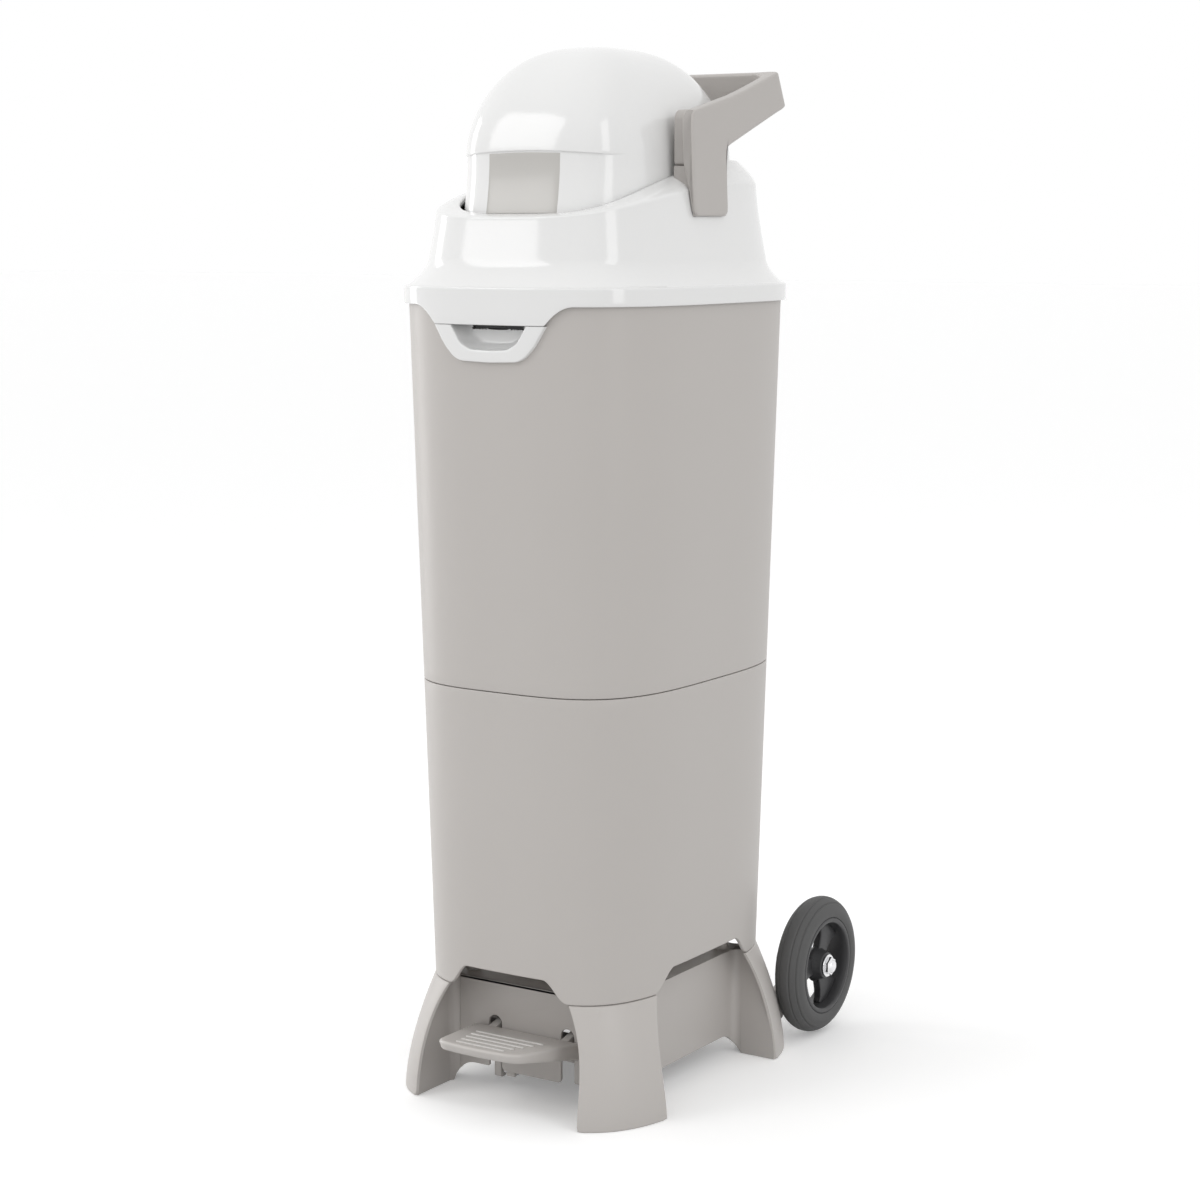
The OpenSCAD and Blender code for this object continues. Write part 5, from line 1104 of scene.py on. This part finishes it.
class HandleOperator(Operator):
    """Builds the carrying handle and the two pivot blocks"""

    bl_idname = "bin.handle"
    bl_label = "Handle and pivot blocks"

    def blades(self, m, z0, bottom, upper, front):
        """Sections of the right blade from its front to the corner."""
        v = np.linspace(0, 1, BLADE_ROWS)
        bow = polyline(front, v)
        bulge = bow - (bow[0] + (bow[-1] - bow[0]) * v[:, None])
        lines = []
        for low, high, share in zip(polyline(bottom, BLADE_STEPS), polyline(upper, BLADE_STEPS), BLADE_STEPS):
            lines.append(low + (high - low) * v[:, None] + bulge * max(0.0, 1 - share / FRONT_SHARE))
        ahead = (lines[1] - lines[0]) / np.linalg.norm(lines[1][BLADE_ROWS // 2] - lines[0][BLADE_ROWS // 2])
        edge = min(m.soft, 0.0018)

        def section(line, thin):
            y, z = line.T
            heights = [z0, z0 + KNEE[0] * m.handle_h, z0 + KNEE[1] * m.handle_h, z0 + m.handle_h]
            thick = np.interp(z, heights, [m.blade_low, m.blade_low + 0.002, m.blade, m.blade])
            outer = np.column_stack([np.full_like(y, m.handle_x - thin), y, z])
            return closed_section(outer, np.column_stack([m.handle_x - thick + thin, y, z]), m.soft)

        rows = [section(lines[0] + ahead * up, off) for off, up in quarter(edge)[:-1]]
        return rows + [section(line, 0) for line in (lines[0] + ahead * edge, *lines[1:])]

    def grip(self, m, low_line, high_line, end, inner):
        """Sections round the handle's corner and along the grip to the middle plane."""
        v = np.linspace(0, 1, BLADE_ROWS)[:, None]

        def section(x_out, y_out, x_in, y_in):
            """A section between its corners; y_out and y_in each hold a low and a high place."""
            sides = []
            for x, (y_low, y_high) in ((x_out, y_out), (x_in, y_in)):
                low = np.array([x, y_low, on(low_line, y_low)])
                high = np.array([x, y_high, on(high_line, y_high)])
                sides.append(low + (high - low) * v)
            return closed_section(*sides, m.soft)

        middle_x, start = m.handle_x - m.blade - m.bend, inner - m.bend
        rows = []
        for w in np.linspace(0.03, 1, 28) * math.pi / 2:
            c, q = max(math.cos(w), 0.0), math.sin(w)
            x_out = middle_x + (m.handle_x - middle_x) * c**CORNER_POWER
            y_out = start + (end - start) * q**CORNER_POWER
            rows.append(section(x_out, y_out, middle_x + m.bend * c, start + m.bend * q))
        return rows + [section(x, end, x, inner) for x in np.linspace(middle_x, 0, 12)[1:]]

    def execute(self, context):
        b, m = groups("body", "lid")
        z0 = b.lid_z + m.height - 0.002

        def at(points):
            return [(u * m.handle_len - m.handle_front, z0 + v * m.handle_h) for u, v in points]

        def start(line, inner):
            """Where the corner starts on a line of the grip."""
            return [(inner - m.bend, on(line, inner - m.bend))]

        low_line, high_line = at(GRIP_LOW), at(GRIP_HIGH)
        bottom = at(BLADE_BOTTOM) + start(low_line, m.grip_low)
        rows = self.blades(m, z0, bottom, at(BLADE_TOP) + start(high_line, m.grip_high), at(BLADE_FRONT))
        end = np.array([low_line[1][0], high_line[1][0]])
        rows += self.grip(m, low_line, high_line, end, np.array([m.grip_low, m.grip_high]))
        right = np.array(rows)
        form = Form().loft(np.concatenate([right, right[-2::-1] * [-1, 1, 1]]), cap0=True, cap1=True)
        low = b.lid_z + m.height + m.pivot_up - m.block_h / 2 + m.block_lift
        x0, x1 = m.hood_w + m.spread + 0.004, m.handle_x - m.blade
        foot = oblong(-0.0255, 0.0255, low - 0.024, low - 0.0004, 0.002, 0.0012)
        plates(form, foot, x0 + 0.0002, x1 + 0.004, 0.0009)
        form.piece("carry_handle", "lid", "trim", ["handle"])
        outline = oblong(-m.block_d, m.block_d, low, low + m.block_h, 0.004, 0.009, 8)
        for name, s in SIDES:
            form = Form()
            plates(form, outline, x0, x1 - 0.0001, 0.0016, [s], 4)
            form.piece("pivot_cap_" + name, "lid", "trim", ["pivot_block_" + name])
        return {"FINISHED"}


# Latch

PULL_POINTS = 161  # points of a row round the pull


class LatchOperator(Operator):
    """Builds the frame and hollow of the finger pull"""

    bl_idname = "bin.latch"
    bl_label = "Finger pull"

    def execute(self, context):
        b, m, g = groups("body", "lid", "gear")
        top = b.lid_z - m.apron_h - 0.0003
        proud, back = m.flange_out, -g.pull_back
        foot, low = top - g.pull_h, top - g.pull_in_h

        def line_of(right):
            """The open line through the right half's points, the foot and the left half's points."""
            left = [(-x, z, r) for x, z, r in right[-2::-1]]
            line = rounded(right + left + [(0, top + 0.05, 0)], 14)[:-1]
            return polyline(line, np.linspace(0, 1, PULL_POINTS))

        outer = line_of([
            (g.pull_w0, top, 0), (g.pull_w1 + 0.011, top - g.pull_h * 0.55, 0.04),
            (g.pull_w1 - 0.002, foot + 0.0012, 0.02), (0, foot, 0.09)])
        inner = line_of([
            (g.pull_in0, top, 0), (g.pull_in1 + 0.0045, top - g.pull_in_h * 0.7, 0.012),
            (g.pull_in1 - 0.006, low + 0.0008, 0.02), (0, low, 0.09)])

        def lay(line, grow):
            return np.column_stack([line[:, 0], front_y(b, line[:, 0], line[:, 1], grow), line[:, 1]])

        def deep(line_share, x_share, y):
            return np.column_stack([inner[:, 0] * x_share, y, top + (inner[:, 1] - top) * line_share])

        across = (inner - outer) / np.linalg.norm(outer - inner, axis=1)[:, None]
        rows = [lay(outer, -0.0006), lay(outer, 0.0), lay(outer, proud - 0.0012)]
        rows += [lay(outer + across * off, proud - up) for off, up in reversed(quarter(0.0012)[:-1])]
        rows += [lay(outer * (1 - f) + inner * f, proud) for f in (0.35, 0.65)]
        rows += [lay(inner - across * off, proud - up) for off, up in quarter(0.0015, 5)]
        # the hollow: a bowl that narrows to its back wall, which the catch's notch opens at the top
        front = rows[-1][:, 1]
        for w in np.linspace(0, np.pi / 2, 13)[1:]:
            size = 1 - 0.34 * (1 - math.cos(w))
            rows.append(deep(size, size, front + (back - front) * math.sin(w)))
        for size in (0.6, 0.5, 0.4, 0.3, 0.2, 0.1, 0.0):
            rows.append(deep(size, max(size, 0.45), np.full(PULL_POINTS, back)))

        def solid(mid):
            return abs(mid[1] - back) > 0.003 or abs(mid[0]) > g.notch_w or mid[2] < top - g.notch_h

        form = Form().loft(rows, wrap=False, keep=solid)
        form.piece("pull_frame", "root", "white_shell", ["latch_frame"])
        return {"FINISHED"}


# Pedal

RIB_HALF = 0.0018  # half width of a rib


class PedalOperator(Operator):
    """Builds the pedal's tread, ribs and arms"""

    bl_idname = "bin.pedal"
    bl_label = "Pedal"

    def tread(self, g, y0, y1, top):
        """The tread, rounded along its upper and lower edges."""

        def low(y):
            rear, rise = y0 - 0.003, g.tread_rise + g.tread_t0 - g.tread_t1
            return g.tread_z - g.tread_t0 + rise * (rear - y) / (rear - y1)

        outline = rounded([
            (-g.tread_w0, y0, 0.003), (-g.tread_w1, y1 + 0.004, 0.017), (0, y1, 0.12),
            (g.tread_w1, y1 + 0.004, 0.017), (g.tread_w0, y0, 0.003)], 10)
        loops = []
        for off, up in quarter(0.003):
            o = inset(outline, off + 0.0012)
            loops.append(np.column_stack([o, low(o[:, 1]) + up]))
        for off, down in (*reversed(quarter(0.0026, 5)), (0.0052, 0.0001)):
            o = inset(outline, off)
            loops.append(np.column_stack([o, top(o[:, 1]) - down]))
        return Form().loft(loops, cap0=True, cap1=True)

    def arms(self, form, p, g, back):
        """The two arms through the base's slots, each with its eye on the axle."""
        y, z, front, low = -g.pedal_y, g.pedal_z, -p.panel_y, g.tread_z - g.tread_t0
        for x, tail in ((-g.arm_x, 0.01), (g.arm_x, 0.038)):
            side = rounded([
                (front - 0.01, low + 0.003, 0), (front - 0.003, low + 0.001, 0.003),
                (back, low - 0.003, 0.003), (back, tail, 0.003), (back + 0.009, tail, 0.003),
                (y + 0.006, z, 0.003), (y + 0.0088, z + 0.001, 0.004), (y + 0.003, z + 0.009, 0.006),
                (y - 0.003, z + 0.009, 0.003),
                (front - 0.01, g.tread_z - 0.001, 0)])
            plate(form, side, x - g.arm_w / 2, x + g.arm_w / 2, 0.0009, "x")
            pin(form, 0.009, x - g.arm_w / 2, x + g.arm_w / 2, y, z, edge=0.0009)

    def ribs(self, g, y0, y1, top):
        """The ribs across the tread, which get shorter to the front."""
        form, slope = Form(), math.atan(g.tread_rise / (y0 - y1))
        for k in range(g.ribs):
            mid = y0 - (0.032 + g.rib_pitch * k - 0.0017) * math.cos(slope)
            half = 0.037 - 0.00275 * k
            bar = oblong(-half, half, mid - RIB_HALF, mid + RIB_HALF, 0.0017, 0.0017)
            loops = []
            for off, up in ((0, -0.0006), (0, 0.0003), (0.0003, 0.0007), (0.0009, 0.0009)):
                o = inset(bar, off)
                loops.append(np.column_stack([o, top(o[:, 1]) + up]))
            form.loft(loops, cap1=True)
        return form

    def execute(self, context):
        b, p, g = groups("body", "base", "gear")
        y0, y1 = -g.tread_y0, -g.tread_y1

        def top(y):
            return g.tread_z + g.tread_rise * (y0 - y) / (y0 - y1)

        form = self.tread(g, y0, y1, top)
        self.arms(form, p, g, b.wall - p.panel_y + 0.0003)
        form.piece("pedal_tread", "pedal", "body_shell", ["pedal"])
        self.ribs(g, y0, y1, top).piece("tread_ribs", "pedal", "body_shell", look="rib")
        return {"FINISHED"}


# Wheels

GROOVES = (-0.86, -0.36, 0.36, 0.86)  # places of the tyre's grooves round its section
GROOVE, TREAD = 0.0009, 0.00045  # depth of a groove, height of the tread
GROOVE_ANGLE, NUT_ANGLE = math.radians(60), math.radians(30)  # edges sharper than these stay sharp
BOSS_BORE = 0.0077  # radius of the hub's bore
# one edge of a spoke and half its outer end, as (radius, angle from the spoke's middle)
SPOKE = ((0.0135, 0.62), (0.02, 0.46), (0.028, 0.4), (0.036, 0.43), (0.0415, 0.5), (0.0415, 0.17))
# profiles as (radius, along)
WASHER = ((0.0052, 0.0), (0.0108, 0.0), (0.011, 0.0002), (0.011, 0.0013), (0.0108, 0.0015), (0.0052, 0.0015))
NUT = ((0.0, 0.0), (0.0074, 0.0), (0.008, 0.0005), (0.008, 0.0034), (0.0075, 0.004), (0.0066, 0.0042))
NUT_FLATS = 0.0036  # height up to which the nut has flats
NUT_TOP = [(0.0063 * math.cos(w), 0.0042 + 0.0028 * math.sin(w)) for w in np.linspace(0.05, math.pi / 2, 9)]


def both(half):
    """A profile of (radius, along) with its mirror image before it."""
    return [(r, -h) for r, h in reversed(half)] + list(half)


def hexagon(t, h):
    """Radius factor of the cap nut: six flats up to its round top."""
    flat = 1 / np.cos((t + math.pi / 6) % (math.pi / 3) - math.pi / 6)
    return flat * 0.98 if h <= NUT_FLATS else 1.0


class WheelOperator(Operator):
    """Builds the tyres, hubs, washers and cap nuts"""

    bl_idname = "bin.wheels"
    bl_label = "Wheels"

    def tyre(self, g):
        """The tyre's profile with its grooves and its slightly proud tread."""
        middle_r = g.tyre_r - g.tube_r
        start = math.acos(max(-1.0, (g.rim_r + 0.0004 - middle_r) / g.tube_r))
        tyre = []
        for w in np.linspace(-start, start, 121):
            groove = max(math.exp(-(((w - c) / 0.045) ** 2)) for c in GROOVES)
            tread = TREAD * (1 - float(ease((abs(w) - 0.95) / 0.2)))
            r = g.tube_r - GROOVE * groove - TREAD + tread
            tyre.append((middle_r + r * math.cos(w), r * math.sin(w)))
        inner, half = g.rim_r + 0.0002, tyre[-1][1]
        return [(inner, -half * 0.97)] + tyre + [(inner, half * 0.97)]

    def hub(self, g, centre):
        """The hub: rim, boss and spokes."""
        r, h = g.rim_r, g.rim_half
        rim = both([
            (r - 0.0066, 0.0015), (r - 0.0062, 0.006), (r - 0.005, h - 0.0014), (r - 0.0044, h - 0.0004),
            (r - 0.0036, h), (r - 0.0012, h), (r - 0.0004, h - 0.0003), (r, h - 0.001)])
        r, h = g.boss_r, g.boss_half
        end = [(r - off, h - up) for off, up in reversed(quarter(0.0012))]
        boss = both([(r + 0.0045, 0.0005), (r + 0.003, 0.003)] + end + [(BOSS_BORE, h)])
        form = Form()
        lathe(form, rim, centre, "x", 120, loop=True)
        lathe(form, boss, centre, "x", 72, loop=True)
        line = [(r, w) for r, w in SPOKE] + [(r, -w) for r, w in reversed(SPOKE)]
        for k in range(g.spokes):
            a = 2 * math.pi * (k + 0.5) / g.spokes
            points = [[r * math.cos(a + w), r * math.sin(a + w), 0.004] for r, w in line]
            points[0][2] = points[-1][2] = 0.0
            spoke = plate(Form(), rounded(points, 5), -0.004, 0.004, 0.0012, "x")
            form.add(np.concatenate(spoke.verts) + centre, spoke.faces)
        return form

    def execute(self, context):
        g = context.scene.bin_gear
        form, flat = Form(), Form()
        for name, s in SIDES:
            centre = (g.wheel_x * s, g.wheel_y, g.wheel_z)
            body = "wheel_" + name
            tyre = lathe(Form(), self.tyre(g), centre, "x", 144, loop=True)
            tyre.piece("tyre_rubber_" + name, body, "tyre", ["tyre_" + name], GROOVE_ANGLE)
            hub = self.hub(g, centre)
            hub.piece("wheel_hub_" + name, body, "wheel_hub", ["hub_" + name])
            end = g.wheel_x + g.boss_half + 0.0003
            lathe(flat, [(r, h * s) for r, h in WASHER], (end * s, g.wheel_y, g.wheel_z), "x", 72, loop=True)
            nut = [(r, h * s) for r, h in (*NUT, *NUT_TOP)]
            lathe(form, nut, ((end + 0.0015) * s, g.wheel_y, g.wheel_z), "x", 72, hexagon)
        flat.piece("wheel_washers", "root", "chrome", ["axle_washers"])
        form.piece("wheel_cap_nuts", "root", "chrome", ["cap_nuts"], NUT_ANGLE)
        return {"FINISHED"}


# Return spring and plain solids

COIL_STEPS = 40  # steps of a turn


class SpringOperator(Operator):
    """Builds the return spring at rest, as long as its packed solid"""

    bl_idname = "bin.spring"
    bl_label = "Return spring"

    def execute(self, context):
        g = context.scene.bin_gear
        low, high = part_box("return_spring")
        x, y, height = (low.x + high.x) / 2, (low.y + high.y) / 2, high.z - low.z
        z0, z1 = low.z + g.wire, high.z - g.wire
        turn = np.linspace(0, 2 * np.pi * g.coils, COIL_STEPS * g.coils + 1)
        section = np.linspace(0, 2 * np.pi, 12, endpoint=False)
        out, up = (high.x - low.x) / 2 - g.wire + g.wire * np.cos(section), g.wire * np.sin(section)
        rows = []
        for w, z in zip(turn, z0 + (z1 - z0) * turn / turn[-1]):
            rows.append(np.column_stack([x + out * math.cos(w), y + out * math.sin(w), z + up]))
        form = Form().loft(rows, cap0=True, cap1=True)
        coil = form.piece("return_coil", "root", "steel", ["return_spring"], shift=False)
        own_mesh(coil)
        return {"FINISHED"}


class NodeOperator(Operator):
    """Gives every solid that stays in view the finish of its slot"""

    bl_idname = "bin.nodes"
    bl_label = "Finish of the solids"

    def execute(self, context):
        mats = finishes()
        for sub in FRAME["record"]["subparts"]:
            obj = FRAME["nodes"][sub["node"]]
            if obj.hide_render:
                continue
            mat = mats[sub["material_slot"]]
            for place in obj.material_slots:
                place.material = mat
            if not obj.material_slots:
                obj.data.materials.append(mat)
        return {"FINISHED"}


# Stage

# name, place, size, power
LAMPS = (
    ("key", (-1.9, -2.6, 2.3), (1.4, 2.0), 22),
    ("side", (2.6, -0.9, 1.6), (0.8, 2.4), 12),
    ("left", (-2.6, -0.3, 0.9), (0.6, 2.2), 17),
)
LAMP_TARGET = (0.0, 0.0, 0.45)
SKY_LIGHT = 0.83  # strength of the white sky for all rays but those that show it
# half size of the floor, its glow where it is seen, and its grey for all other rays
FLOOR_HALF, FLOOR_GLOW, FLOOR_DIM = 30.0, 0.2, 0.62
# the camera, solved from the photograph
CAMERA_PLACE, CAMERA_TARGET = (1.29402, -2.01632, 0.79332), (0, -0.0295, 0.44634)
LENS, SHIFT_X = 77.315, 0.00074


def aim(obj, place, target):
    """Puts a lamp or a camera at a place and turns it to a target."""
    obj.location = place
    obj.rotation_euler = (Vector(target) - Vector(place)).to_track_quat("-Z", "Y").to_euler()


def lamp(name, place, size, power):
    """A soft area lamp that faces the bin's middle."""
    data = bpy.data.lights.new(name, "AREA")
    data.shape = "RECTANGLE"
    data.size, data.size_y = size
    data.energy = power
    aim(linked(name, data), place, LAMP_TARGET)


def seen(tree):
    """1 for rays from the camera and through gloss or glass, otherwise 0."""
    path = node_of(tree, "ShaderNodeLightPath")
    total = path.outputs["Is Camera Ray"]
    for name in ("Is Glossy Ray", "Is Transmission Ray"):
        more = node_of(tree, "ShaderNodeMath", operation="MAXIMUM")
        tree.links.new(total, more.inputs[0])
        tree.links.new(path.outputs[name], more.inputs[1])
        total = more.outputs[0]
    return total


def by_sight(tree, share, unseen, shown, socket):
    """Feeds one value to a socket where a surface isn't seen, and another where it is."""
    level = node_of(tree, "ShaderNodeMapRange", **{"To Min": unseen, "To Max": shown})
    tree.links.new(share, level.inputs["Value"])
    tree.links.new(level.outputs["Result"], socket)


class StageOperator(Operator):
    """Sets the pale floor, the soft light and the camera"""

    bl_idname = "bin.stage"
    bl_label = "Floor, light and camera"

    def lift(self, tree):
        """Lifts the floor to white where it is seen; its shadow stays."""
        shader = tree.nodes["Principled BSDF"]
        shader.inputs["Emission Color"].default_value = (1, 1, 1, 1)
        share = seen(tree)
        by_sight(tree, share, 0.0, FLOOR_GLOW, shader.inputs["Emission Strength"])
        dim = node_of(tree, "ShaderNodeMix", data_type="RGBA")
        dim.inputs[6].default_value = (FLOOR_DIM, FLOOR_DIM, FLOOR_DIM, 1)
        link = shader.inputs["Base Color"].links[0]
        tree.links.new(link.from_socket, dim.inputs[7])
        tree.links.new(share, dim.inputs[0])
        tree.links.new(dim.outputs[2], shader.inputs["Base Color"])

    def execute(self, context):
        scene, h = context.scene, FLOOR_HALF
        mesh = bpy.data.meshes.new("floor")
        mesh.from_pydata([(-h, -h, 0), (h, -h, 0), (h, h, 0), (-h, h, 0)], [], [(0, 1, 2, 3)])
        floor = linked("floor", mesh)
        mat = finish("bin_floor", tuple(scene.bin_colours.floor), 0.6, 60.0, 1e-5, vary=0.004, level=0.1)
        self.lift(mat.node_tree)
        floor.data.materials.append(mat)
        scene.world = bpy.data.worlds.new("studio")
        scene.world.use_nodes = True
        tree = scene.world.node_tree
        sky = tree.nodes["Background"]
        sky.inputs["Color"].default_value = (1, 1, 1, 1)
        by_sight(tree, seen(tree), SKY_LIGHT, 1.0, sky.inputs["Strength"])
        for name, place, size, power in LAMPS:
            lamp(name, place, size, power)
        camera = linked("camera", bpy.data.cameras.new("camera"))
        aim(camera, CAMERA_PLACE, CAMERA_TARGET)
        camera.data.sensor_width = 36
        camera.data.lens = LENS
        camera.data.shift_x = SHIFT_X
        scene.camera = camera
        scene.view_settings.view_transform = "Standard"
        return {"FINISHED"}


class BinPanel(Panel):
    """Buttons for each group of pieces"""

    bl_idname = "VIEW3D_PT_bin"
    bl_label = "Bin"
    bl_space_type = "VIEW_3D"
    bl_region_type = "UI"
    bl_category = "Bin"

    def draw(self, context):
        for cls in OPERATORS:
            self.layout.operator(cls.bl_idname)
        for name in GROUPS:
            box = self.layout.box()
            group = getattr(context.scene, name)
            for key in GROUPS[name].__annotations__:
                box.prop(group, key)


OPERATORS = (
    BodyOperator, BaseOperator, CollarOperator, HoodOperator, HandleOperator, LatchOperator, PedalOperator,
    WheelOperator, SpringOperator, NodeOperator, StageOperator,
)
GROUPS = {
    "bin_body": BodySizes,
    "bin_base": BaseSizes,
    "bin_lid": LidSizes,
    "bin_gear": GearSizes,
    "bin_colours": Colours,
}
FRAME = {}


def register():
    """Registers the groups, operators and panel."""
    for name, cls in GROUPS.items():
        bpy.utils.register_class(cls)
        setattr(bpy.types.Scene, name, PointerProperty(type=cls))
    for cls in (*OPERATORS, BinPanel):
        bpy.utils.register_class(cls)


def unregister():
    """Removes what register() added."""
    for cls in (BinPanel, *reversed(OPERATORS)):
        bpy.utils.unregister_class(cls)
    for name, cls in reversed(GROUPS.items()):
        delattr(bpy.types.Scene, name)
        bpy.utils.unregister_class(cls)


def main():
    """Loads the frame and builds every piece."""
    register()
    FRAME.update(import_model())
    for cls in OPERATORS:
        group, name = cls.bl_idname.split(".")
        if getattr(getattr(bpy.ops, group), name)() != {"FINISHED"}:
            raise RuntimeError(cls.bl_idname + " did not finish")


if __name__ == "__main__":
    main()
